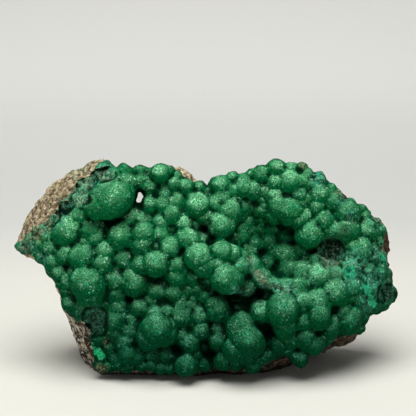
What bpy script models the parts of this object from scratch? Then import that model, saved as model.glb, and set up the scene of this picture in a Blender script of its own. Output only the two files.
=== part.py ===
"""Malachite specimen: a botryoidal malachite crust on its slab of brown host rock.

Two solids: host_rock, the broken slab that stands on its flat underside, and malachite_crust,
the layer of grape-like green lumps that grew over the slab's display side.

The display side is laid out in millimetres in its own space, and then stood up in the world:
u runs to the right, v runs up from the foot, and d runs away from the viewer. The d axis is the
line of sight, which looks down on the specimen by SIGHT_TILT. The world is in metres, +Z up, with
the viewer on the -Y side and the origin under the middle of the specimen.
"""

import math
import random

import bmesh
import bpy
from mathutils import Matrix, Vector, noise
from mathutils.bvhtree import BVHTree

MM = 0.001

# Line of sight on to the display side
SIGHT_TILT = math.radians(14.0)
SIGHT_DISTANCE = 450.0
SIGHT_LEVEL = 56.0  # v of the point that the sight line meets
SIGHT_HEIGHT = 56.2  # height of that point over the surface that the specimen stands on

# Slab and crust
CRUST_THICKNESS = 4.5
CRUST_ROOT = 4.0  # how far the crust is sunk into the rock before the rock is cut from it
CONTACT_GAP = 0.3
FOOT_DEPTH = 37.0  # d of the slab's back at the foot
BACK_LEAN = 0.37  # how much nearer the back gets for each millimetre of height
ROCK_VOXEL = 1.7
CRUST_VOXEL = 0.9
CRUST_SMOOTHING = 2
ROCK_TRIANGLES = 1900
CRUST_TRIANGLES = 6900

# Outline of the host rock, from the left end of the foot and round by the left side and the top
ROCK_OUTLINE = [
    (-37.6, -3.0), (-39.9, 2.4), (-42.2, 8.0), (-44.6, 13.8), (-46.2, 18.6), (-47.6, 23.0),
    (-49.8, 29.6), (-53.5, 35.4), (-57.0, 39.6), (-61.5, 40.6), (-64.1, 42.6), (-63.9, 45.6),
    (-61.8, 49.6), (-60.0, 53.6), (-57.0, 57.4), (-53.4, 61.6), (-51.2, 64.2), (-46.4, 67.4),
    (-42.0, 70.2), (-37.8, 72.0), (-33.4, 71.0), (-29.0, 68.0), (-22.0, 68.0), (-15.0, 69.4),
    (-9.4, 69.6), (-6.0, 67.2), (-3.6, 64.4), (0.0, 61.6), (5.0, 64.0), (12.0, 65.6),
    (20.0, 69.4), (31.6, 69.8), (37.6, 66.0), (44.8, 60.6), (50.0, 56.4), (54.8, 54.0),
    (58.4, 52.2), (59.8, 47.0), (59.9, 41.4), (60.2, 35.0), (60.0, 29.0), (57.4, 24.0),
    (52.4, 19.4), (49.4, 14.2), (47.6, 11.6), (40.0, 9.6), (30.0, 5.4), (25.6, 2.2),
    (18.0, -1.0), (6.0, -3.0), (-16.0, -3.0),
]

# Outline of the malachite, in the same order
CRUST_OUTLINE = [
    (-35.4, 1.6), (-37.6, 6.0), (-39.0, 11.0), (-39.6, 15.6), (-43.0, 19.2), (-46.6, 20.6),
    (-47.6, 24.0), (-48.6, 28.0), (-51.0, 32.0), (-54.6, 38.0), (-57.6, 41.0), (-62.4, 41.8),
    (-63.0, 43.4), (-60.6, 46.4), (-57.4, 49.4), (-54.0, 53.8), (-50.6, 58.0), (-46.6, 62.0),
    (-42.4, 66.0), (-38.6, 69.0), (-35.6, 71.4), (-32.6, 71.0), (-30.2, 69.0), (-26.0, 68.4),
    (-20.0, 69.0), (-14.0, 69.0), (-9.0, 65.8), (-5.0, 64.0), (-1.0, 62.4), (2.0, 64.0),
    (7.0, 66.0), (12.0, 66.2), (18.0, 68.8), (22.0, 70.8), (27.0, 70.0), (31.0, 70.0),
    (36.6, 66.6), (41.4, 63.0), (45.0, 59.4), (50.6, 56.0), (54.0, 53.0), (56.8, 50.0),
    (58.0, 45.0), (58.8, 40.0), (60.0, 35.0), (61.0, 31.0), (61.2, 27.0), (59.8, 24.2),
    (54.0, 21.0), (51.2, 16.0), (47.0, 14.6), (39.6, 12.0), (35.4, 8.6), (30.0, 6.0),
    (25.0, 7.6), (19.0, 4.6), (14.0, 3.4), (4.0, 3.8), (-8.0, 2.6), (-24.0, 2.4),
]

# Stretches of the crust's outline whose edge is broken across, with no lumps on it, as (u, v, reach)
BROKEN_EDGES = [(-38.0, 10.0, 13.0), (-59.0, 45.0, 6.0), (-50.0, 58.0, 14.0), (-36.0, 70.0, 8.0)]

# Window where the slab is broken through behind the broad lump, as u, v, half length, half width
# and tilt in degrees, in the rock and in the sheet of the crust
ROCK_WINDOW = (-27.0, 55.4, 8.6, 4.0, 48.0)
CRUST_WINDOW = (-23.4, 59.8, 2.8, 2.1, 60.0)

# Broad swells (+, towards the viewer) and hollows (-) of the display side, as (u, v, reach, rise)
SWELLS = [
    (-3.0, 40.0, 12.0, 3.5), (6.0, 33.0, 10.0, 3.0), (-19.0, 39.0, 9.0, 2.0),
    (24.0, 22.0, 11.0, 4.0), (12.0, 12.0, 10.0, 4.0), (36.0, 19.0, 10.0, 3.0),
    (-17.0, 15.0, 9.0, 2.5), (-7.0, 3.0, 7.0, 1.5), (-40.0, 30.0, 10.0, 2.5),
    (-33.0, 58.0, 9.0, 2.0), (48.0, 30.0, 12.0, 1.5), (30.0, 54.0, 8.0, 1.5),
    (20.0, 47.0, 12.0, -7.0), (26.0, 38.0, 8.0, -3.0), (-1.0, 49.0, 4.5, -4.5),
    (16.5, 26.5, 4.0, -5.0), (1.0, 8.0, 4.5, -4.0), (-14.0, 9.0, 5.0, -3.0),
    (-26.0, 27.0, 4.5, -3.0), (8.0, 24.0, 4.5, -3.0), (-25.5, 41.0, 4.0, -2.5),
    (20.0, 14.0, 4.0, -3.0), (-24.0, 64.0, 9.0, -2.0), (38.0, 14.0, 3.0, -2.0),
]
LEFT_BEND = (-44.0, 0.012)  # left of this u the side bends back, by this much a square millimetre
RIGHT_BEND = (34.0, 0.020)

# Bulges (+) and hollows (-) of the slab's back, as (u, v, reach, rise)
BACK_SWELLS = [
    (22.0, 48.0, 22.0, 9.0), (-30.0, 30.0, 16.0, 4.0), (-58.0, 46.0, 12.0, -3.0),
    (50.0, 28.0, 14.0, -4.0), (2.0, 60.0, 10.0, -4.0), (0.0, 20.0, 12.0, -3.0),
]

# Lumps that have broken off, leaving a dished face of their own radius, as (u, v, radius, lift)
BROKEN_LUMPS = [
    (41.1, 41.4, 4.9, 1.6), (59.2, 28.4, 3.4, 0.6), (9.5, 27.6, 2.8, 1.6), (-55.6, 39.6, 2.2, 0.2),
    (-36.6, 19.4, 4.0, 0.6),
]

# Grape-like lumps, as (u, v, radius, lift towards the viewer, stretch, tilt in degrees)
BROAD_LUMP = [
    (-32.3, 58.4, 5.8, 4.0, 1.38, 28), (-37.2, 56.3, 4.2, 3.5), (-34.5, 60.6, 4.4, 3.2),
]
LEFT_LUMPS = [
    (-47.2, 48.0, 3.5, 2.0, 1.15, 80), (-49.2, 51.3, 1.9, 0.3), (-53.5, 46.8, 2.1, 0.8),
    (-55.3, 44.2, 1.6, 0.8), (-52.1, 42.8, 2.5, 0.6), (-51.6, 38.0, 2.5, 0.8),
    (-47.6, 40.2, 2.3, 1.5), (-42.0, 39.6, 3.6, 2.5), (-40.9, 43.8, 2.3, 0.5), (-43.3, 53.4, 2.7, 0.5),
    (-41.4, 50.6, 1.7, 0.5), (-38.8, 48.6, 2.9, 1.0, 1.2, -10), (-37.3, 46.0, 2.4, 1.6),
    (-34.5, 41.5, 2.5, 2.0), (-35.2, 37.5, 2.6, 1.5), (-35.3, 50.2, 1.5, 0.0), (-34.0, 47.0, 1.3, 0.0),
    (-59.0, 45.2, 1.7, 0.3), (-57.3, 48.0, 1.6, -0.3), (-60.5, 42.4, 1.7, 0.3), (-57.4, 42.6, 1.6, 0.0),
    (-48.0, 55.6, 2.3, 0.6), (-42.3, 58.9, 2.7, 1.4), (-46.8, 58.8, 2.0, 0.8), (-44.6, 62.0, 2.2, 0.4),
    (-39.6, 63.6, 2.4, 0.8), (-35.0, 67.8, 3.0, 1.0), (-33.0, 70.0, 1.9, 0.6),
]
TOP_LUMPS = [
    (-27.8, 68.3, 2.2, 0.0), (-22.7, 68.4, 1.7, 0.5, 1.4, 5), (-16.0, 67.6, 3.4, 3.0),
    (-13.2, 68.2, 2.2, 1.5), (-26.8, 64.2, 2.5, 1.0), (-22.3, 64.9, 2.2, 0.7), (-19.3, 63.2, 2.1, 0.8),
    (-19.6, 66.6, 1.5, 0.0), (-14.4, 63.7, 1.4, 0.0), (-11.3, 63.9, 2.0, 0.6),
    (-10.4, 66.6, 1.8, 0.3, 1.4, -60), (-14.3, 60.7, 1.9, 0.5), (-10.0, 59.9, 1.5, 0.0),
    (-7.3, 63.2, 2.5, 1.2), (-2.8, 63.1, 1.9, 0.0), (0.2, 60.8, 1.2, -0.5),
]
MIDDLE_LUMPS = [
    (-19.5, 57.0, 3.2, 2.0, 1.2, 90), (-15.1, 56.9, 2.2, 1.2), (-10.9, 57.5, 1.9, 0.5),
    (-12.0, 53.6, 2.5, 1.5, 1.15, 90), (-7.9, 50.6, 2.3, 1.0), (-8.4, 53.7, 1.7, 0.3),
    (-4.8, 50.2, 2.1, 1.0), (-26.2, 52.3, 2.0, 0.5, 1.6, 48), (-21.5, 51.9, 2.0, 0.5, 1.4, -20),
    (-15.6, 50.7, 2.0, 1.0), (-13.2, 48.7, 1.4, 0.0), (-23.7, 56.0, 1.3, -1.5), (-31.6, 49.2, 1.5, 0.0),
    (-29.2, 46.7, 3.6, 2.5), (-21.5, 47.4, 3.3, 2.5), (-21.9, 43.8, 3.0, 2.2),
    (-16.3, 46.8, 2.2, 1.0, 1.2, 90), (-12.9, 45.5, 1.4, 0.0), (-12.7, 42.3, 2.9, 1.8),
    (-16.8, 42.3, 1.6, 0.5), (-17.2, 37.5, 3.8, 3.2), (-21.9, 37.2, 2.9, 2.2), (-28.1, 39.3, 2.8, 1.2),
    (-30.9, 41.6, 1.9, 0.3), (-30.6, 34.7, 1.8, 0.0), (-25.8, 35.6, 1.8, 0.5), (-10.0, 36.9, 2.8, 1.4),
    (-3.5, 56.7, 3.6, 2.2), (-1.2, 53.5, 2.7, 2.5), (2.7, 57.2, 2.3, 1.5), (7.3, 54.5, 3.5, 2.8),
    (4.5, 49.9, 3.5, 3.5), (10.4, 53.6, 1.7, 1.5), (-6.4, 45.3, 3.2, 2.0, 1.2, -15),
    (-2.8, 45.0, 2.3, 1.5), (0.4, 46.2, 1.3, -0.5), (3.6, 44.5, 2.0, 0.0, 1.5, 0),
    (-3.2, 39.8, 4.0, 3.6), (-1.4, 36.9, 3.2, 3.2), (4.4, 41.0, 3.1, 3.2), (7.6, 40.4, 2.9, 2.6),
    (2.9, 37.4, 2.3, 2.6), (10.9, 39.4, 2.1, 2.6),
]
UPPER_RIGHT_LUMPS = [
    (4.0, 63.8, 2.9, 1.5, 1.22, 8), (8.0, 66.3, 1.8, 0.5), (11.8, 65.4, 2.2, 0.8), (14.5, 67.2, 1.8, 0.3),
    (17.6, 67.2, 2.8, 1.2), (9.0, 61.9, 2.1, 1.0), (12.0, 62.8, 2.5, 1.8), (14.8, 61.8, 2.4, 1.6),
    (9.3, 58.8, 1.9, 0.8), (12.9, 58.4, 1.4, 0.4), (4.8, 59.6, 2.5, 1.0, 1.12, 0), (11.8, 56.0, 2.0, 1.0),
    (14.5, 55.8, 1.7, 0.6), (17.9, 55.5, 2.0, 1.2), (17.2, 52.4, 1.7, 0.0), (18.5, 61.4, 2.0, 0.8),
    (17.6, 58.9, 1.9, 0.6), (12.9, 51.7, 1.8, 0.0), (10.9, 48.7, 1.8, 0.2), (14.0, 48.7, 1.5, 0.0),
    (10.2, 45.9, 2.1, 0.3), (17.4, 49.2, 1.5, -0.5), (21.5, 48.8, 1.9, -0.3), (15.2, 44.0, 2.0, 0.0),
    (20.2, 44.4, 2.8, 0.6), (13.8, 41.1, 2.0, 0.0), (19.5, 37.2, 1.5, -0.5), (22.7, 69.4, 2.7, 1.5),
    (27.7, 69.0, 2.2, 0.8), (31.3, 69.6, 1.7, 0.2), (22.7, 64.8, 2.3, 1.2), (27.3, 64.7, 2.6, 1.8, 1.3, 90),
    (31.0, 64.7, 1.9, 1.2), (33.1, 66.9, 2.2, 0.8), (37.0, 65.6, 2.3, 0.8), (33.3, 63.9, 1.9, 0.3),
    (37.1, 60.5, 2.3, 1.2), (30.4, 60.4, 1.7, 1.4), (30.7, 57.6, 1.9, 0.8), (33.3, 59.0, 1.7, 0.5, 1.4, 90),
    (40.6, 62.6, 1.8, 0.3), (42.8, 60.6, 1.7, 0.2), (41.0, 58.4, 2.4, 0.8), (46.1, 54.8, 3.2, 2.2, 1.3, -15),
    (36.0, 56.6, 2.0, 0.6), (36.0, 53.6, 1.5, 0.0), (45.4, 48.6, 3.2, 1.6, 1.2, 0), (38.5, 51.8, 2.8, 1.2),
    (41.0, 48.9, 2.5, 1.0), (24.0, 56.4, 3.3, 2.6), (27.5, 55.0, 3.5, 3.4), (30.2, 52.4, 2.6, 2.6),
    (22.2, 53.5, 2.4, 2.0), (22.5, 60.2, 2.5, 1.2), (25.7, 59.3, 1.8, 0.8), (32.5, 53.4, 1.8, 1.2),
    (34.8, 50.3, 1.8, 1.6), (33.8, 46.8, 3.4, 3.0), (26.4, 46.3, 2.0, -0.5, 1.3, 0),
    (25.6, 40.6, 3.2, 1.5, 1.5, -4), (31.5, 41.8, 2.1, 0.3), (33.0, 38.5, 1.7, 0.0), (36.0, 38.5, 1.6, 1.0),
]
RIGHT_LUMPS = [
    (51.8, 48.3, 2.9, 1.2, 1.15, 0), (52.0, 53.2, 2.2, 1.2), (51.0, 55.6, 1.6, 0.5), (47.4, 57.6, 1.6, 0.3),
    (49.6, 42.0, 3.5, 1.8), (57.2, 48.8, 2.2, 0.8), (55.8, 51.2, 1.7, 0.3), (56.6, 44.6, 2.1, 0.6),
    (57.0, 39.6, 2.6, 1.2), (54.6, 39.8, 2.0, 0.8), (53.4, 42.4, 2.1, 0.5), (59.0, 34.0, 2.3, 0.6),
    (56.0, 34.4, 2.5, 1.0), (52.5, 34.6, 2.5, 1.2), (53.3, 29.5, 2.9, 2.2),
    (55.0, 25.1, 2.7, 1.8), (56.2, 22.5, 2.2, 1.0), (58.4, 24.2, 2.6, 0.5), (51.2, 37.0, 1.7, 0.8),
    (47.0, 36.2, 3.0, 1.2), (42.4, 27.8, 3.6, 2.6), (47.4, 29.0, 3.0, 1.8), (48.6, 25.8, 2.6, 1.6),
    (44.4, 25.0, 2.0, 1.2), (42.0, 33.4, 2.2, 0.8, 1.3, 0), (46.3, 32.6, 2.4, 0.8), (36.4, 33.2, 3.3, 1.5),
    (32.0, 34.0, 3.2, 1.4), (27.4, 35.0, 3.3, 1.0), (38.5, 36.6, 1.8, 0.6), (51.9, 23.5, 2.3, 0.8),
]
LOWER_RIGHT_LUMPS = [
    (36.3, 24.4, 3.3, 2.4), (36.9, 20.0, 2.8, 3.4, 1.3, 90), (40.3, 16.4, 2.5, 1.6, 1.4, 90),
    (35.4, 10.8, 3.9, 2.0), (38.9, 12.7, 2.7, 1.4), (46.4, 19.0, 3.6, 1.4), (44.8, 21.8, 2.4, 1.2),
    (48.6, 20.4, 2.3, 1.2), (51.0, 19.8, 2.4, 0.6), (50.4, 15.8, 1.9, 0.6), (46.8, 16.4, 2.6, 1.0),
    (31.3, 24.6, 2.5, 2.4), (31.4, 18.4, 2.7, 1.0), (32.3, 13.0, 3.2, 1.4), (30.5, 5.9, 2.7, 1.4),
    (30.2, 29.0, 2.7, 2.4), (24.8, 21.6, 4.8, 3.8, 1.12, 90), (25.4, 17.2, 3.7, 3.2), (18.2, 21.2, 3.0, 2.4),
    (23.5, 11.6, 3.0, 1.4), (27.3, 12.2, 2.5, 2.0), (26.4, 9.2, 2.2, 1.2), (19.5, 10.6, 1.9, 0.0),
    (19.2, 7.3, 2.2, 0.2), (22.3, 7.6, 1.9, 0.3), (20.7, 27.0, 1.8, 0.3),
]
RIDGE_LUMPS = [
    (14.6, 36.8, 2.2, 2.8, 1.8, -55), (17.8, 32.6, 2.2, 3.0, 1.7, -50), (21.6, 30.2, 2.0, 2.6, 1.8, -22),
    (26.0, 29.4, 2.3, 2.6, 1.5, -8),
]
LOWER_MIDDLE_LUMPS = [
    (6.3, 32.3, 4.1, 3.8), (10.4, 36.0, 2.7, 3.2), (13.0, 25.2, 1.5, 0.8),
    (12.8, 28.9, 2.4, 1.8), (10.2, 21.7, 2.0, -0.5, 1.4, 0), (10.8, 15.9, 4.0, 3.2), (12.9, 11.9, 4.6, 3.8),
    (9.8, 9.2, 3.8, 3.6), (15.7, 10.8, 2.9, 2.6), (13.0, 6.8, 2.4, 2.2), (15.0, 3.2, 2.7, 1.8),
    (16.3, 5.5, 2.4, 1.6), (5.6, 5.4, 3.5, 1.8), (9.0, 4.6, 2.6, 1.6), (16.4, 16.6, 2.0, 0.4),
    (7.3, 18.4, 1.7, 0.0), (3.3, 22.6, 3.4, 2.4, 1.25, -62), (-0.9, 26.8, 1.9, 0.8), (1.2, 26.2, 1.9, 0.8),
    (3.4, 15.7, 1.8, 0.0), (3.6, 11.8, 2.9, 1.0), (-2.4, 20.0, 2.5, 1.4), (-1.9, 23.7, 1.5, 0.0),
    (-2.3, 15.2, 2.7, 1.4), (-5.3, 17.0, 1.9, 0.4), (-6.0, 11.0, 2.8, 1.8), (-8.6, 13.7, 2.5, 0.8),
    (-1.0, 10.3, 1.8, 0.2), (-7.4, 3.6, 3.8, 2.6, 1.12, 0), (-1.6, 4.0, 2.3, 0.6), (-5.0, 7.4, 2.0, 0.6),
]
LOWER_LEFT_LUMPS = [
    (-24.0, 30.8, 3.5, 2.4), (-17.1, 28.4, 2.5, 1.0), (-14.6, 30.6, 1.6, 0.0), (-11.4, 27.7, 2.7, 1.2),
    (-18.6, 24.9, 2.0, 0.6, 1.2, -15), (-21.6, 27.1, 1.6, -0.3), (-22.3, 22.6, 2.4, 1.2),
    (-17.2, 15.5, 4.6, 3.4, 1.08, 0), (-19.9, 13.0, 3.2, 3.0), (-14.3, 13.8, 3.3, 3.0),
    (-17.4, 20.4, 2.4, 1.8), (-13.7, 21.4, 1.9, 1.4), (-12.3, 17.2, 2.1, 1.8), (-9.0, 19.9, 2.9, 2.0),
    (-9.2, 23.9, 2.4, 1.2), (-6.0, 23.4, 2.0, 0.8), (-6.5, 28.7, 1.9, 0.4), (-3.2, 29.2, 2.1, 0.4),
    (-5.3, 26.3, 1.8, 0.2), (-10.4, 33.4, 2.7, 1.4), (-5.0, 32.8, 1.7, 1.2), (-40.2, 30.6, 4.7, 3.6),
    (-39.0, 27.6, 3.6, 3.0), (-31.2, 31.4, 2.6, 1.2), (-30.7, 27.2, 2.6, 0.8), (-46.2, 24.1, 2.4, 0.6),
    (-41.8, 22.3, 2.3, 0.3), (-47.1, 28.4, 1.8, 0.2), (-46.6, 31.2, 2.0, 0.6), (-49.2, 30.9, 2.1, 0.3),
    (-49.5, 34.2, 2.4, 0.6), (-52.4, 34.6, 1.6, 0.0), (-44.3, 34.0, 1.9, 0.2), (-29.9, 23.1, 2.6, 0.4),
    (-26.1, 23.8, 1.7, 0.0), (-31.2, 18.6, 2.5, 0.6, 1.5, 90), (-30.7, 14.2, 2.0, 0.0),
    (-25.8, 14.8, 2.1, 0.4), (-25.0, 18.0, 1.8, 0.0), (-27.8, 10.8, 2.3, 0.8), (-26.8, 7.4, 2.7, 1.2),
    (-29.9, 5.0, 1.8, 0.2), (-26.9, 2.9, 1.9, 0.4), (-33.2, 2.8, 1.5, 0.0), (-17.3, 7.5, 2.2, 0.4),
    (-13.4, 7.4, 2.5, 0.6), (-19.1, 3.6, 2.0, 0.3), (-22.0, 3.4, 1.9, 0.2), (-12.8, 2.4, 1.8, 0.0),
    (-23.9, 6.6, 1.9, 0.4), (-36.0, 7.0, 1.8, 0.0), (-36.4, 12.6, 1.8, 0.0),
]

RIM_STEP = 3.4  # spacing of the lumps that turn round the crust's edge
RIM_RADII = (1.7, 2.7)
RIM_SETBACKS = (3.0, 7.0)
RIM_SEED = 11
WANDER_SEED = 5

MALACHITE_GREEN = (0.016, 0.150, 0.068)
ROCK_BROWN = (0.23, 0.17, 0.11)


def clear_scene():
    for item in list(bpy.data.objects):
        bpy.data.objects.remove(item)


def make_material(name, colour, roughness):
    material = bpy.data.materials.new(name)
    material.use_nodes = True
    shader = material.node_tree.nodes["Principled BSDF"]
    shader.inputs["Base Color"].default_value = (*colour, 1.0)
    shader.inputs["Roughness"].default_value = roughness
    shader.inputs["Metallic"].default_value = 0.0
    return material


# ---- The display space and its relief ----


def stood_up(u, d, v):
    """World place, in metres, of a point of the display space, in millimetres."""
    reach = (SIGHT_DISTANCE + d) / SIGHT_DISTANCE
    rise = (v - SIGHT_LEVEL) * reach
    along = d * math.cos(SIGHT_TILT) + rise * math.sin(SIGHT_TILT)
    up = SIGHT_HEIGHT - d * math.sin(SIGHT_TILT) + rise * math.cos(SIGHT_TILT)
    return Vector((u * reach, along, up)) * MM


def swell_at(swells, u, v):
    return sum(
        rise * math.exp(-((u - at_u) ** 2 + (v - at_v) ** 2) / reach**2)
        for at_u, at_v, reach, rise in swells
    )


def face_depth(u, v):
    """d of the surface in which the lumps' centres lie."""
    left = max(0.0, LEFT_BEND[0] - u)
    right = max(0.0, u - RIGHT_BEND[0])
    return LEFT_BEND[1] * left**2 + RIGHT_BEND[1] * right**2 - swell_at(SWELLS, u, v)


def back_depth(u, v):
    """d of the slab's broken back."""
    return FOOT_DEPTH - BACK_LEAN * v + swell_at(BACK_SWELLS, u, v)


def ring_points(window, count=14):
    """Points round an ellipse given as u, v, half length, half width and tilt."""
    at_u, at_v, half_length, half_width, tilt = window
    slope = math.radians(tilt)
    points = []
    for i in range(count):
        turn = math.tau * i / count
        a = half_length * math.cos(turn)
        b = half_width * math.sin(turn)
        points.append((at_u + a * math.cos(slope) - b * math.sin(slope),
                       at_v + a * math.sin(slope) + b * math.cos(slope)))
    return points


def ragged(loop):
    """A closed loop of points broken into short steps that wander in and out."""
    step = 1.6
    wander = 1.2
    wander_size = 4.0
    points = []
    for start, end in zip(loop, loop[1:] + loop[:1]):
        a = Vector(start)
        edge = Vector(end) - a
        count = max(1, round(edge.length / step))
        for i in range(count):
            point = a + edge * (i / count)
            point += noise.noise_vector(point.to_3d() / wander_size).to_2d() * wander
            points.append(tuple(point))
    return points


def is_inside(u, v, loop):
    """True where (u, v) lies within a closed loop of points."""
    crossings = 0
    for (u0, v0), (u1, v1) in zip(loop, loop[1:] + loop[:1]):
        if (v0 > v) != (v1 > v) and u < u0 + (u1 - u0) * (v - v0) / (v1 - v0):
            crossings += 1
    return crossings % 2 == 1


def distance_to_loops(u, v, loops):
    """Distance in the display plane to the nearest edge of closed loops of points."""
    place = Vector((u, v))
    nearest = math.inf
    for loop in loops:
        for start, end in zip(loop, loop[1:] + loop[:1]):
            a = Vector(start)
            edge = Vector(end) - a
            share = max(0.0, min(1.0, (place - a).dot(edge) / edge.length_squared))
            nearest = min(nearest, (place - a - edge * share).length)
    return nearest


# ---- Meshes ----


def object_from(name, mesh):
    item = bpy.data.objects.new(name, mesh)
    bpy.context.scene.collection.objects.link(item)
    return item


def evaluated_copy(item, name):
    """A mesh object of what item's curve or modifiers make, in place of item."""
    graph = bpy.context.evaluated_depsgraph_get()
    mesh = bpy.data.meshes.new_from_object(item.evaluated_get(graph))
    mesh.transform(item.matrix_world)
    bpy.data.objects.remove(item)
    return object_from(name, mesh)


def flat_plate(name, loops, thickness):
    """A plate in the display space: loops of (u, v) filled, with d from 0 to thickness."""
    curve = bpy.data.curves.new(name, "CURVE")
    curve.dimensions = "2D"
    curve.fill_mode = "BOTH"
    curve.extrude = thickness / 2
    for loop in loops:
        spline = curve.splines.new("POLY")
        spline.points.add(len(loop) - 1)
        for point, (u, v) in zip(spline.points, loop):
            point.co = (u, v, 0.0, 1.0)
        spline.use_cyclic_u = True
    plate = object_from(name, curve)
    plate.location.y = thickness / 2
    plate.rotation_euler.x = math.radians(90.0)
    bpy.context.view_layer.update()
    return evaluated_copy(plate, name)


def fused(item, voxel):
    """item with everything in it grown together into one skin."""
    remesh = item.modifiers.new("fuse", "REMESH")
    remesh.mode = "VOXEL"
    remesh.voxel_size = voxel
    return evaluated_copy(item, item.name)


def smoothed(item, rounds):
    """item with the steps of its fused skin worn smooth."""
    smooth = item.modifiers.new("smooth", "SMOOTH")
    smooth.factor = 0.5
    smooth.iterations = rounds
    return evaluated_copy(item, item.name)


def thinned(item, triangles):
    """item with about this many triangles left."""
    item.data.calc_loop_triangles()
    decimate = item.modifiers.new("thin", "DECIMATE")
    decimate.ratio = min(1.0, triangles / len(item.data.loop_triangles))
    decimate.use_collapse_triangulate = True
    return evaluated_copy(item, item.name)


def relax_crossings(item):
    """Eases apart the few spots where thinning has folded the skin through itself."""
    most_rounds = 20
    mesh = bmesh.new()
    mesh.from_mesh(item.data)
    for _ in range(most_rounds):
        mesh.faces.ensure_lookup_table()
        tree = BVHTree.FromBMesh(mesh)
        crossed = set()
        for first, second in tree.overlap(tree):
            corners = set(mesh.faces[first].verts)
            others = set(mesh.faces[second].verts)
            if corners.isdisjoint(others):
                crossed |= corners | others
        if not crossed:
            break
        bmesh.ops.smooth_vert(mesh, verts=list(crossed), factor=0.5,
                              use_axis_x=True, use_axis_y=True, use_axis_z=True)
    mesh.to_mesh(item.data)
    mesh.free()


def keep_largest_body(item):
    """Removes every loose body of item but the one with the most faces."""
    mesh = bmesh.new()
    mesh.from_mesh(item.data)
    unseen = set(mesh.verts)
    bodies = []
    while unseen:
        reached = [unseen.pop()]
        for vertex in reached:
            for edge in vertex.link_edges:
                other = edge.other_vert(vertex)
                if other in unseen:
                    unseen.remove(other)
                    reached.append(other)
        bodies.append(reached)
    bodies.sort(key=len)
    for body in bodies[:-1]:
        bmesh.ops.delete(mesh, geom=body, context="VERTS")
    mesh.to_mesh(item.data)
    mesh.free()


def cut_foot(item):
    """Cuts item off flat at the surface that the specimen stands on."""
    mesh = bmesh.new()
    mesh.from_mesh(item.data)
    everything = mesh.verts[:] + mesh.edges[:] + mesh.faces[:]
    cut = bmesh.ops.bisect_plane(
        mesh, geom=everything, plane_co=(0, 0, 0), plane_no=(0, 0, 1), clear_inner=True
    )
    edges = [part for part in cut["geom_cut"] if isinstance(part, bmesh.types.BMEdge)]
    bmesh.ops.triangle_fill(mesh, use_beauty=True, edges=edges, normal=(0, 0, -1))
    bmesh.ops.recalc_face_normals(mesh, faces=mesh.faces)
    mesh.to_mesh(item.data)
    mesh.free()


# ---- Host rock ----


def make_host_rock():
    plate_thickness = 20.0
    rim_width = 5.0
    rim_level = 0.45
    thinnest_rim = 0.4
    shoulder_slope = 0.7
    window = ring_points(ROCK_WINDOW)
    rock = flat_plate("host_rock", [ROCK_OUTLINE, window], plate_thickness)
    rock = fused(rock, ROCK_VOXEL)
    for vertex in rock.data.vertices:
        u, d, v = vertex.co
        share = d / plate_thickness
        inset = min(1.0, distance_to_loops(u, v, [ROCK_OUTLINE, window]) / rim_width)
        fullness = max(thinnest_rim, math.sqrt(1.0 - (1.0 - inset) ** 2))
        share = rim_level + (share - rim_level) * fullness
        bare = 0.0 if is_inside(u, v, CRUST_OUTLINE) else distance_to_loops(u, v, [CRUST_OUTLINE])
        front = face_depth(u, v) + CRUST_THICKNESS + shoulder_slope * bare
        vertex.co = stood_up(u, front + (back_depth(u, v) - front) * share, v)
    roughen_rock(rock)
    rock = thinned(rock, ROCK_TRIANGLES)
    relax_crossings(rock)
    cut_foot(rock)
    keep_largest_body(rock)
    return rock


def roughen_rock(rock):
    """Breaks the slab's skin into chips and ledges."""
    chip_size = 7.0 * MM
    chip_depth = 1.6 * MM
    grit_size = 3.0 * MM
    grit_depth = 0.5 * MM
    rock.data.update()
    normals = [vertex.normal.copy() for vertex in rock.data.vertices]
    for vertex, normal in zip(rock.data.vertices, normals):
        chips = noise.voronoi(vertex.co / chip_size)[0][0] - 0.5
        grit = noise.noise(vertex.co / grit_size)
        vertex.co += normal * (chips * chip_depth + grit * grit_depth)


# ---- Malachite crust ----


def lump_rows():
    groups = (BROAD_LUMP, LEFT_LUMPS, TOP_LUMPS, MIDDLE_LUMPS, UPPER_RIGHT_LUMPS, RIGHT_LUMPS,
              LOWER_RIGHT_LUMPS, RIDGE_LUMPS, LOWER_MIDDLE_LUMPS, LOWER_LEFT_LUMPS)
    return [row for group in groups for row in group]


def rim_rows():
    """Lumps that turn the crust's edge towards the slab's back, where it isn't broken across."""
    chance = random.Random(RIM_SEED)
    rows = []
    for start, end in zip(CRUST_OUTLINE, CRUST_OUTLINE[1:] + CRUST_OUTLINE[:1]):
        edge = Vector(end) - Vector(start)
        for i in range(max(1, round(edge.length / RIM_STEP))):
            u, v = Vector(start) + edge * (i * RIM_STEP / edge.length)
            broken = any(math.dist((u, v), place) < reach for *place, reach in BROKEN_EDGES)
            radius = chance.uniform(*RIM_RADII)
            setback = chance.uniform(*RIM_SETBACKS)
            if not broken:
                rows.append((u, v, radius, -setback))
    return rows


def add_lump(mesh, u, v, radius, lift=0.0, stretch=1.0, tilt=0.0, broken=False):
    """A lump of malachite, with its centre on the display side's relief, raised by lift."""
    fullness = 1.05
    root = 0.8  # how far a lump reaches back, as a share of its radius
    dish_rim = 0.25
    dish_sag = 0.3
    ball = bmesh.ops.create_icosphere(mesh, subdivisions=2, radius=radius * fullness)["verts"]
    slope = math.radians(tilt)
    along = Vector((math.cos(slope), 0.0, math.sin(slope)))
    centre = Vector((u, face_depth(u, v) - lift, v))
    for vertex in ball:
        if vertex.co.y > 0.0:
            vertex.co.y += root * radius + max(0.0, lift)
        elif broken:
            across = math.hypot(vertex.co.x, vertex.co.z) / radius
            vertex.co.y = max(vertex.co.y, -radius * (dish_rim - dish_sag * (1.0 - across**2)))
        vertex.co += along * vertex.co.dot(along) * (stretch - 1.0)
        vertex.co += centre


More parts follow.
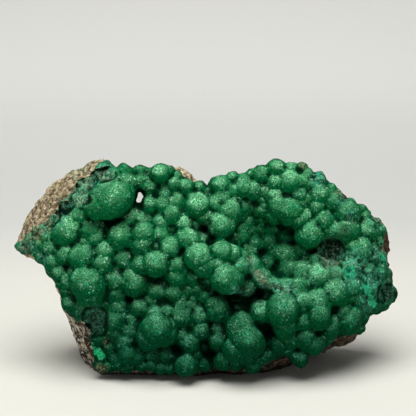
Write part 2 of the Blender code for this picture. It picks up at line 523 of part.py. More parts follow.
def make_crust(rock):
    plate_thickness = 10.0
    sheet_setback = 0.6
    edges = [ragged(CRUST_OUTLINE), ring_points(CRUST_WINDOW)]
    sheet = flat_plate("malachite_crust", edges, plate_thickness)
    sheet = fused(sheet, CRUST_VOXEL)
    for vertex in sheet.data.vertices:
        u, d, v = vertex.co
        front = face_depth(u, v) + sheet_setback
        back = face_depth(u, v) + CRUST_THICKNESS + CRUST_ROOT
        vertex.co.y = front + (back - front) * d / plate_thickness
    mesh = bmesh.new()
    mesh.from_mesh(sheet.data)
    for row in lump_rows() + rim_rows():
        add_lump(mesh, *row)
    for row in BROKEN_LUMPS:
        add_lump(mesh, *row, broken=True)
    mesh.to_mesh(sheet.data)
    mesh.free()
    crust = smoothed(fused(sheet, CRUST_VOXEL), CRUST_SMOOTHING)
    keep_largest_body(crust)
    for vertex in crust.data.vertices:
        vertex.co = stood_up(*vertex.co)
    crust = thinned(crust, CRUST_TRIANGLES)
    relax_crossings(crust)
    cut_foot(crust)
    return seated_on(crust, rock)


def seated_on(crust, rock):
    """Cuts the rock, grown by the contact gap, out of the crust's back."""
    sharpest = 0.5
    grown = bmesh.new()
    grown.from_mesh(rock.data)
    steps = []
    for vertex in grown.verts:
        lean = min(vertex.normal.dot(face.normal) for face in vertex.link_faces)
        steps.append(vertex.normal * (CONTACT_GAP * MM / max(sharpest, lean)))
    for vertex, step in zip(grown.verts, steps):
        vertex.co += step
    cutter = object_from("rock_with_gap", bpy.data.meshes.new("rock_with_gap"))
    cutter.hide_render = True
    cutter.display_type = "WIRE"
    grown.to_mesh(cutter.data)
    grown.free()
    relax_crossings(cutter)
    cut = crust.modifiers.new("seat", "BOOLEAN")
    cut.operation = "DIFFERENCE"
    cut.object = cutter
    crust = evaluated_copy(crust, "malachite_crust")
    bpy.data.objects.remove(cutter)
    keep_largest_body(crust)
    return crust


def centre_over_origin(items):
    """Moves the meshes so that the middle of their box stands over the world's origin."""
    corners = [vertex.co for item in items for vertex in item.data.vertices]
    shift = Vector((0.0, 0.0, 0.0))
    for axis in (0, 1):
        places = [corner[axis] for corner in corners]
        shift[axis] = -(min(places) + max(places)) / 2
    for item in items:
        item.data.transform(Matrix.Translation(shift))


def main():
    clear_scene()
    noise.seed_set(WANDER_SEED)
    rock = make_host_rock()
    crust = make_crust(rock)
    centre_over_origin((rock, crust))
    rock.data.materials.clear()
    rock.data.materials.append(make_material("host_rock", ROCK_BROWN, 0.95))
    crust.data.materials.clear()
    crust.data.materials.append(make_material("malachite", MALACHITE_GREEN, 0.7))
    collection = bpy.data.collections.new("malachite_specimen")
    bpy.context.scene.collection.children.link(collection)
    for item in (rock, crust):
        bpy.context.scene.collection.objects.unlink(item)
        collection.objects.link(item)


main()
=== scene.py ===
"""The looks of a malachite specimen: a green, grape-like malachite crust on its slab of brown rock."""

import math
import random

import bmesh
import bpy
import numpy as np
from mathutils import Matrix, Vector, noise
from mathutils.bvhtree import BVHTree


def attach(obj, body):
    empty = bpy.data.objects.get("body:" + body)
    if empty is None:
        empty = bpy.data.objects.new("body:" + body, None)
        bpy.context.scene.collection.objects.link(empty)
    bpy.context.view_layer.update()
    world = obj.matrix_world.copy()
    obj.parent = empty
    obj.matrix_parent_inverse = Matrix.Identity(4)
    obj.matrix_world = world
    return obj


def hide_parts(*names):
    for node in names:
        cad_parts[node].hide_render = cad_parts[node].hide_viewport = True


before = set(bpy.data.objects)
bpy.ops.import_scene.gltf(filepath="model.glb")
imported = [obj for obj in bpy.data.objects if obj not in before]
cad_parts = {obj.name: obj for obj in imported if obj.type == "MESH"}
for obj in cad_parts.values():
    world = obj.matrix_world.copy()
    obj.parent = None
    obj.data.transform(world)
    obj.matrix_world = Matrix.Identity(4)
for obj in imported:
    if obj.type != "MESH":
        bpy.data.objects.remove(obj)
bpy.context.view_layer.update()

# ---- Studio: where it is seen from ----
# The specimen is seen from a little above, on its display side. The display side is laid out in
# millimetres: u runs to the right, v up from the foot, and d away along the line of sight.

MM = 0.001
SIGHT_TILT = math.radians(14.0)
SIGHT_DISTANCE = 450.0
SIGHT_LEVEL = 56.0
SIGHT_POINT = Vector((-0.1309, -1.2492, 56.2))  # what the line of sight meets, in millimetres
FRAME_WIDTH = 138.67  # width of what is seen at that point
SENSOR_WIDTH = 36.0
AWAY = Vector((0.0, math.cos(SIGHT_TILT), -math.sin(SIGHT_TILT)))
UPWARD = Vector((0.0, math.sin(SIGHT_TILT), math.cos(SIGHT_TILT)))


def seat(u, d, v):
    """World place, in metres, of a point of the display side's layout."""
    reach = (SIGHT_DISTANCE + d) / SIGHT_DISTANCE
    across = Vector((u * reach, 0.0, 0.0))
    return (SIGHT_POINT + across + AWAY * d + UPWARD * (v - SIGHT_LEVEL) * reach) * MM


def seats(u, d, v):
    """World places of many points of the layout, given as arrays, as rows."""
    reach = (SIGHT_DISTANCE + d) / SIGHT_DISTANCE
    spread = np.outer(d, AWAY) + np.outer((v - SIGHT_LEVEL) * reach, UPWARD)
    spread[:, 0] += u * reach
    return (spread + np.array(SIGHT_POINT)) * MM


def layout_of(points):
    """The u, d and v of world points, as three arrays of millimetres."""
    spread = points / MM - np.array(SIGHT_POINT)
    d = spread @ np.array(AWAY)
    reach = (SIGHT_DISTANCE + d) / SIGHT_DISTANCE
    return spread[:, 0] / reach, d, SIGHT_LEVEL + spread @ np.array(UPWARD) / reach


bpy.ops.object.select_all(action="DESELECT")
bpy.ops.object.camera_add()
camera = bpy.context.object
camera.name = "camera"
camera.location = (SIGHT_POINT - AWAY * SIGHT_DISTANCE) * MM
camera.rotation_euler = AWAY.to_track_quat("-Z", "Y").to_euler()
camera.data.sensor_width = SENSOR_WIDTH
camera.data.lens = SENSOR_WIDTH * SIGHT_DISTANCE / FRAME_WIDTH
camera.data.clip_start = 0.01
camera.data.clip_end = 20.0
bpy.context.scene.camera = camera

# ---- Studio: paper sweep and lights ----
# A roll of pale paper lies flat under the specimen and curves up behind it. A broad soft light
# hangs over the front, two weak ones fill the shadows from the sides, and one brightens the paper
# behind.

SWEEP_START = 0.560  # where the paper starts to rise, well behind the specimen
SWEEP_BEND = 0.25
SWEEP_STEPS = 24
SWEEP_HALF_WIDTH = 5.0
SWEEP_FRONT = -5.0
SWEEP_HEIGHT = 2.0

profile = [(SWEEP_FRONT, 0.0), (SWEEP_START, 0.0)]
for i in range(1, SWEEP_STEPS + 1):
    turn = math.radians(90.0 * i / SWEEP_STEPS)
    profile.append((SWEEP_START + SWEEP_BEND * math.sin(turn), SWEEP_BEND * (1 - math.cos(turn))))
profile.append((SWEEP_START + SWEEP_BEND, SWEEP_HEIGHT))

bpy.ops.object.select_all(action="DESELECT")
bpy.ops.mesh.primitive_plane_add(size=1.0)
paper = bpy.context.object
paper.name = "paper_sweep"
sheet = bmesh.new()
lines = []
for side in (-SWEEP_HALF_WIDTH, SWEEP_HALF_WIDTH):
    lines.append([sheet.verts.new((side, y, z)) for y, z in profile])
for i in range(len(profile) - 1):
    sheet.faces.new((lines[0][i], lines[1][i], lines[1][i + 1], lines[0][i + 1]))
sheet.to_mesh(paper.data)
sheet.free()
paper.data.shade_smooth()

PAPER_TINT = (0.70, 0.70, 0.645)
# Painted shade and light on the paper further back, as the tints that it comes to: darker just behind the
# specimen, lighter beyond, as (from and to what distance, tint)
PAINTED_PAPER_LIGHT = [
    (0.10, 0.20, (0.615, 0.622, 0.600)), (0.45, 0.80, (0.730, 0.735, 0.690)),
]


def finish_of(piece, name):
    """Gives a piece a new material; its nodes, links and shader, and each point's place on the piece."""
    finish = bpy.data.materials.new(name)
    finish.use_nodes = True
    piece.data.materials.clear()
    piece.data.materials.append(finish)
    nodes = finish.node_tree.nodes
    in_place = nodes.new("ShaderNodeTexCoord").outputs["Object"]
    return nodes, finish.node_tree.links, nodes["Principled BSDF"], in_place


def feed(socket, value):
    """Sets a socket to a number or a colour, or links another socket to it."""
    if isinstance(value, bpy.types.NodeSocket):
        links.new(value, socket)
    else:
        socket.default_value = value


def node_of(kind, **values):
    """A new node of this kind, with its sockets fed by name."""
    node = nodes.new("ShaderNode" + kind)
    for name, value in values.items():
        feed(node.inputs[name.replace("_", " ")], value)
    return node


def parted(place):
    """The X, Y and Z of a place."""
    return node_of("SeparateXYZ", Vector=place).outputs


def ranged(value, low, high, most=1.0, least=0.0):
    """value with low..high stretched to least..most, and held there."""
    node = node_of("MapRange", Value=value, From_Min=low, From_Max=high, To_Min=least, To_Max=most)
    return node.outputs["Result"]


def blended(amount, under, over, kind="MIX"):
    """Colour under with colour over laid on it by amount; colours are sockets or triples."""
    node = nodes.new("ShaderNodeMix")
    node.data_type = "RGBA"
    node.blend_type = kind
    for name, value in (("Factor", amount), ("A", under), ("B", over)):
        feed(node.inputs[name], (*value, 1.0) if isinstance(value, tuple) else value)
    return node.outputs["Result"]


nodes, links, shader, in_place = finish_of(paper, "pale_paper")
# The paper's painted shade and light further back are laid over its own tint.
tint = PAPER_TINT
for start, end, further in PAINTED_PAPER_LIGHT:
    tint = blended(ranged(parted(in_place)["Y"], start, end), tint, further)
links.new(tint, shader.inputs["Base Color"])
shader.inputs["Roughness"].default_value = 0.9
shader.inputs["Specular IOR Level"].default_value = 0.2

LIT_POINT = (0.0, 0.0, 0.035)
WHITE = (1.0, 1.0, 1.0)
STUDIO_LIGHTS = [
    # name, place, what it points at, shape, width and depth in metres, watts, colour, spread in degrees
    ("overhead_light", (-0.025, -0.16, 0.66), LIT_POINT, "DISK", 0.66, 0.66, 6.4, (1.0, 0.99, 0.97), 180.0),
    ("left_fill", (-0.75, -0.45, 0.40), LIT_POINT, "DISK", 0.60, 0.60, 0.5, WHITE, 180.0),
    ("right_fill", (0.75, -0.50, 0.35), LIT_POINT, "DISK", 0.60, 0.60, 0.4, (0.97, 0.99, 1.0), 180.0),
    ("background_light", (0.0, 0.62, 0.80), (0.0, 0.62, 0.0), "RECTANGLE", 1.8, 0.5, 1.7, WHITE, 60.0),
]
for name, place, aim, shape, width, depth, watts, colour, spread in STUDIO_LIGHTS:
    bpy.ops.object.select_all(action="DESELECT")
    bpy.ops.object.light_add(type="AREA", location=place)
    lamp = bpy.context.object
    lamp.name = name
    lamp.data.shape = shape
    lamp.data.size = width
    lamp.data.size_y = depth
    lamp.data.energy = watts
    lamp.data.color = colour
    lamp.data.spread = math.radians(spread)
    lamp.rotation_euler = (Vector(aim) - Vector(place)).to_track_quat("-Z", "Y").to_euler()

sky = bpy.data.worlds.new("studio_air")
sky.use_nodes = True
sky.node_tree.nodes["Background"].inputs["Color"].default_value = (0.95, 0.97, 1.0, 1.0)
sky.node_tree.nodes["Background"].inputs["Strength"].default_value = 0.105
bpy.context.scene.world = sky
bpy.context.scene.view_settings.view_transform = "Standard"

# ---- Host rock ----
# A broken slab of coarse brown rock, cemented from grains about a millimetre across, pitted and
# stained green where copper water has run. It carries the crust and stands on its flat underside.

GRAIN_VOXEL = 0.00055
EDGE_WEAR = 6  # how often the rock's edges are evened
ROCK_GRAINS = [
    ("CLOUDS", 0.006, 0.0014, 0.45, ""), ("CLOUDS", 0.0022, 0.0010, 0.5, ""),
    ("VORONOI", 0.0012, 0.0006, 0.6, ""),
]
FOOT_BAND = 0.0004  # what lies lower than this is pressed flat for the foot
GRAIN_SPAN = (3, 0.24)  # over how many points a grain stands out, and by how many millimetres
LEDGE_SPAN = (30, 1.2)  # the same for a ledge


def pick(*pieces):
    """Selects these pieces alone, and works on the last."""
    bpy.ops.object.select_all(action="DESELECT")
    for piece in pieces:
        piece.select_set(True)
    bpy.context.view_layer.objects.active = pieces[-1]


def edit(piece, choose="SELECT"):
    """Opens a piece for editing, with all of it selected, or none of it."""
    pick(piece)
    bpy.ops.object.mode_set(mode="EDIT")
    bpy.ops.mesh.select_all(action=choose)


def close():
    """Ends the editing."""
    bpy.ops.object.mode_set(mode="OBJECT")


def apply_all(piece):
    """Applies every modifier of a piece, in order."""
    pick(piece)
    for modifier in list(piece.modifiers):
        bpy.ops.object.modifier_apply(modifier=modifier.name)


def grow_together(piece, voxel):
    """Remeshes a piece into one even skin."""
    skin = piece.modifiers.new("skin", "REMESH")
    skin.mode = "VOXEL"
    skin.voxel_size = voxel
    apply_all(piece)


def wear(piece, rounds):
    """Softens a piece's edges and creases."""
    worn = piece.modifiers.new("worn", "SMOOTH")
    worn.factor = 0.5
    worn.iterations = rounds


def rough_up(piece, grains):
    """Pushes a piece's skin in and out by grains, in metres: (kind, size, depth, level, where)."""
    for kind, size, depth, level, group in grains:
        grain = bpy.data.textures.new(f"{piece.name}_{kind.lower()}", kind)
        grain.noise_scale = size
        if kind == "CLOUDS":
            grain.noise_depth = 2
        press = piece.modifiers.new("press", "DISPLACE")
        press.texture = grain
        press.texture_coords = "LOCAL"
        press.strength = depth
        press.mid_level = level
        press.vertex_group = group


def points_of(piece, what="co"):
    """Every point's place or normal as rows of an array."""
    values = np.empty(len(piece.data.vertices) * 3)
    piece.data.vertices.foreach_get(what, values)
    return values.reshape(-1, 3)


def evened(piece, values, rounds, own=0.5):
    """Values of a piece's points, each mixed with its neighbours' mean this many times."""
    ends = np.empty(len(piece.data.edges) * 2, dtype=int)
    piece.data.edges.foreach_get("vertices", ends)
    first, second = ends.reshape(-1, 2).T
    count = len(values)
    neighbours = np.maximum(np.bincount(ends, minlength=count), 1)
    for _ in range(rounds):
        total = np.bincount(first, values[second], count) + np.bincount(second, values[first], count)
        values = own * values + (1.0 - own) * total / neighbours
    return values


def standing_out(piece, rounds):
    """How far each point stands out of its surroundings, in millimetres; hollows are negative."""
    place = points_of(piece) / MM
    mean = np.stack([evened(piece, values, rounds, 0.0) for values in place.T], axis=1)
    return ((place - mean) * points_of(piece, "normal")).sum(axis=1)


def store(piece, name, values):
    """Keeps one number for each point of a piece, for its material to read."""
    layer = piece.data.attributes.new(name, "FLOAT", "POINT")
    layer.data.foreach_set("value", np.ascontiguousarray(values, dtype=np.float32))


def press_foot(piece):
    """Keeps a piece on or above the surface it stands on, with its foot flat."""
    place = points_of(piece)
    place[place[:, 2] < FOOT_BAND, 2] = 0.0
    piece.data.vertices.foreach_set("co", place.ravel())
    piece.data.update()


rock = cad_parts["host_rock"].copy()
rock.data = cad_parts["host_rock"].data.copy()
rock.name = "host_rock_grain"
bpy.context.scene.collection.objects.link(rock)
rock.parent = None
rock.matrix_world = Matrix.Identity(4)
edit(rock)
bpy.ops.mesh.remove_doubles(threshold=0.00001)
bpy.ops.mesh.normals_make_consistent(inside=False)
close()
grow_together(rock, GRAIN_VOXEL)
wear(rock, EDGE_WEAR)
rough_up(rock, ROCK_GRAINS)
apply_all(rock)
press_foot(rock)
rock.data.shade_smooth()
for name, (rounds, span) in (("grain_height", GRAIN_SPAN), ("ledge_height", LEDGE_SPAN)):
    store(rock, name, np.clip(0.5 + standing_out(rock, rounds) / span, 0.0, 1.0))
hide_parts("host_rock")
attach(rock, "root")

GRAIN_SIZE = 0.9
BAND_SIZE = 4.0
BAND_TILT = math.radians(47.0)  # the bands run up along the broken edge
BAND_SQUEEZE = 4.0  # how much longer they are than wide


def read(name):
    """One of the piece's stored numbers."""
    node = nodes.new("ShaderNodeAttribute")
    node.attribute_name = name
    return node.outputs["Fac"]


def cloud(size, detail=3.0, roughness=0.6, place=None):
    """Soft noise with patches of this size in millimetres."""
    scale = 1.0 / (size * MM)
    node = node_of("TexNoise", Scale=scale, Detail=detail, Roughness=roughness, Vector=place or in_place)
    return node.outputs["Fac"]


def worked(result, *others, kind="MULTIPLY"):
    """Several sockets or numbers multiplied, or worked together in another way, in order."""
    for other in others:
        node = nodes.new("ShaderNodeMath")
        node.operation = kind
        feed(node.inputs[0], result)
        feed(node.inputs[1], other)
        result = node.outputs["Value"]
    return result


def layered(colour, *layers):
    """A colour with others laid on it in order, each given as (amount, colour) or with its kind."""
    for amount, over, *kind in layers:
        colour = blended(amount, colour, over, *kind)
    return colour


def raised(*layers):
    """A normal raised by several heights, each given as (height, strength, distance in mm)."""
    normal = None
    for height, strength, distance in layers:
        node = node_of("Bump", Strength=strength, Distance=distance * MM, Height=height)
        if normal is not None:
            links.new(normal, node.inputs["Normal"])
        normal = node.outputs["Normal"]
    return normal


nodes, links, shader, in_place = finish_of(rock, "brown_granular_rock")
grains = node_of("TexVoronoi", Scale=1.0 / (GRAIN_SIZE * MM), Vector=in_place)
squeezed = node_of("Mapping", Rotation=(0.0, BAND_TILT, 0.0), Scale=(1.0, 1.0, BAND_SQUEEZE), Vector=in_place)
banded = cloud(BAND_SIZE, 4.0, 0.5, squeezed.outputs["Vector"])
along, _, above = parted(in_place)
coarse = layered(
    (0.50, 0.42, 0.31),
    (ranged(cloud(2.6), 0.44, 0.50), (0.022, 0.015, 0.009)),
    (ranged(cloud(1.9), 0.56, 0.60, 0.9), (0.82, 0.78, 0.70)),
)
low = worked(above, worked(cloud(14, 4), 0.040), kind="ADD")
stain = worked(ranged(cloud(14, 4), 0.58, 0.70), ranged(cloud(1.8), 0.35, 0.6), 0.7)
right_brown_and_shade = worked(along, worked(cloud(12, 4), 0.030), kind="ADD")
tan = layered(
    (0.30, 0.240, 0.130),
    (ranged(cloud(9), 0.35, 0.65), (0.46, 0.380, 0.225)),
    (ranged(banded, 0.46, 0.56, 0.9), (0.15, 0.10, 0.05)),
    (ranged(cloud(1), 0.48, 0.64, 0.9), (0.69, 0.605, 0.42)),
    (ranged(cloud(1.3, 4), 0.54, 0.62, 0.8), (0.080, 0.055, 0.030)),
    (ranged(low, 0.062, 0.034, 0.95), coarse),
    # Painted shade in the hollows between the grains and under the ledges
    (ranged(read("grain_height"), 0.50, 0.05, 0.9), (0.045, 0.030, 0.018)),
    (ranged(read("ledge_height"), 0.35, 0.0, 0.7), (0.07, 0.048, 0.03)),
    (stain, (0.045, 0.17, 0.10)),
    # Towards its right end the rock is darker and browner: partly its own colour, partly painted shade
    (ranged(right_brown_and_shade, 0.008, 0.046), (0.20, 0.135, 0.095), "MULTIPLY"),
    # Painted shade: the rock darkens towards its foot, just above the floor
    (ranged(above, 0.0035, 0.0005, 0.85), (0.030, 0.020, 0.014)),
)
links.new(tan, shader.inputs["Base Color"])
shader.inputs["Roughness"].default_value = 0.92
shader.inputs["Specular IOR Level"].default_value = 0.3
rough = raised((cloud(0.5), 0.7, 0.25), (grains.outputs["Distance"], 0.5, 0.3))
links.new(rough, shader.inputs["Normal"])

# ---- Malachite crust: the face that it grew on ----
# The crust grew over the display side as one layer, a few millimetres thick, that follows the
# slab's swells and hollows. Towards the upper left it has been broken across.

# Outline of the malachite, from the left end of the foot and round by the left side and the top,
# as (u, v)
CRUST_OUTLINE = [
    (-35.4, 1.6), (-37.4, 6), (-38.8, 10.6), (-38.4, 15), (-40.4, 18.6), (-46.6, 20.6), (-47.6, 24),
    (-48.6, 28), (-51, 32), (-54.6, 38), (-57.6, 41), (-62.4, 41.8), (-63, 43.4), (-60.6, 46.4),
    (-56.6, 48.8), (-52.8, 52.8), (-49.2, 56.8), (-45.4, 60.9), (-41.4, 64.9), (-38, 68.4), (-35.6, 71.4),
    (-32.6, 71), (-30.2, 69), (-26, 68.4), (-20, 69), (-14, 69), (-9, 65.8), (-5, 64), (-1, 62.4),
    (2, 64), (7, 66), (12, 66.2), (18, 68.8), (22, 70.8), (27, 70), (31, 70), (36.6, 66.6), (41.4, 63),
    (45, 59.4), (50.6, 56), (54, 53), (56.8, 50), (58, 45), (58.8, 40), (60, 35), (61, 31), (61.2, 27),
    (59.8, 24.2), (54, 21), (51.2, 16), (47, 14.6), (39.6, 12), (35.4, 8.6), (30, 6), (25, 7.6),
    (19, 4.6), (14, 3.4), (4, 3.8), (-8, 2.6), (-24, 2.4),
]
# Stretches of the outline whose edge is broken across, with no lumps on it, as (u, v, reach)
BROKEN_EDGES = [(-38.0, 10.0, 13.0), (-59.0, 45.0, 6.0), (-50.0, 58.0, 14.0), (-36.0, 70.0, 8.0)]
# Broad swells (+, towards the viewer) and hollows (-), as (u, v, reach, rise)
SWELLS = [
    (-3, 40, 12, 3.5), (6, 33, 10, 3), (-19, 39, 9, 2), (24, 22, 11, 4), (12, 12, 10, 4), (36, 19, 10, 3),
    (-17, 15, 9, 2.5), (-7, 3, 7, 1.5), (-40, 30, 10, 2.5), (-33, 58, 9, 2), (48, 30, 12, 1.5),
    (30, 54, 8, 1.5), (20, 47, 12, -5), (26, 38, 8, -2.5), (-1, 49, 4.5, -4.5), (16.5, 26.5, 4, -5),
    (1, 8, 4.5, -4), (-14, 9, 5, -3), (-26, 27, 4.5, -3), (8, 24, 4.5, -3), (-25.5, 41, 4, -2.5),
    (20, 14, 4, -3), (-24, 64, 9, -2), (38, 14, 3, -2),
]
CRUST_EDGES = list(zip(CRUST_OUTLINE, CRUST_OUTLINE[1:] + CRUST_OUTLINE[:1]))
LEFT_BEND = (-44.0, 0.012)  # u where the face starts to turn back, and how sharply
RIGHT_BEND = (34.0, 0.020)
WINDOW = (-23.5, 59.5, 1.65, 1.65, 60.0)  # the see-through gap: u, v, half length, half width, tilt


def bend_depth(u):
    """d of the display side without its swells: it turns back towards both ends."""
    depth = LEFT_BEND[1] * np.maximum(0.0, LEFT_BEND[0] - u) ** 2
    return depth + RIGHT_BEND[1] * np.maximum(0.0, u - RIGHT_BEND[0]) ** 2


def nearness(u, v, at_u, at_v, reach):
    """How near (u, v) lies to a place: 1 at its middle, and less and less over its reach."""
    return np.exp(-((u - at_u) ** 2 + (v - at_v) ** 2) / reach**2)


def face_depth(u, v):
    """d of the surface in which the lumps' centres lie. Takes numbers or arrays."""
    depth = bend_depth(u)
    for *place, rise in SWELLS:
        depth = depth - rise * nearness(u, v, *place)
    return depth


def is_inside(u, v):
    """True where (u, v) lies within the crust's outline."""
    crossings = 0
    for (u0, v0), (u1, v1) in CRUST_EDGES:
        if (v0 > v) != (v1 > v) and u < u0 + (u1 - u0) * (v - v0) / (v1 - v0):
            crossings += 1
    return crossings % 2 == 1


def turned_to(u, v, tilt):
    """u and v along and across a line with this tilt in degrees."""
    slope = math.radians(tilt)
    return u * math.cos(slope) + v * math.sin(slope), v * math.cos(slope) - u * math.sin(slope)


def window_distance(u, v):
    """How far (u, v) lies from the window's middle: 1 on its edge."""
    along, across = turned_to(u - WINDOW[0], v - WINDOW[1], WINDOW[4])
    return math.hypot(along / WINDOW[2], across / WINDOW[3])


# ---- Malachite crust: where its lumps grew ----
# Each lump is a ball of fibrous malachite that grew out from the face until it met its neighbours.
# Small ones fill the gaps between the large, and others turn round the crust's edge.

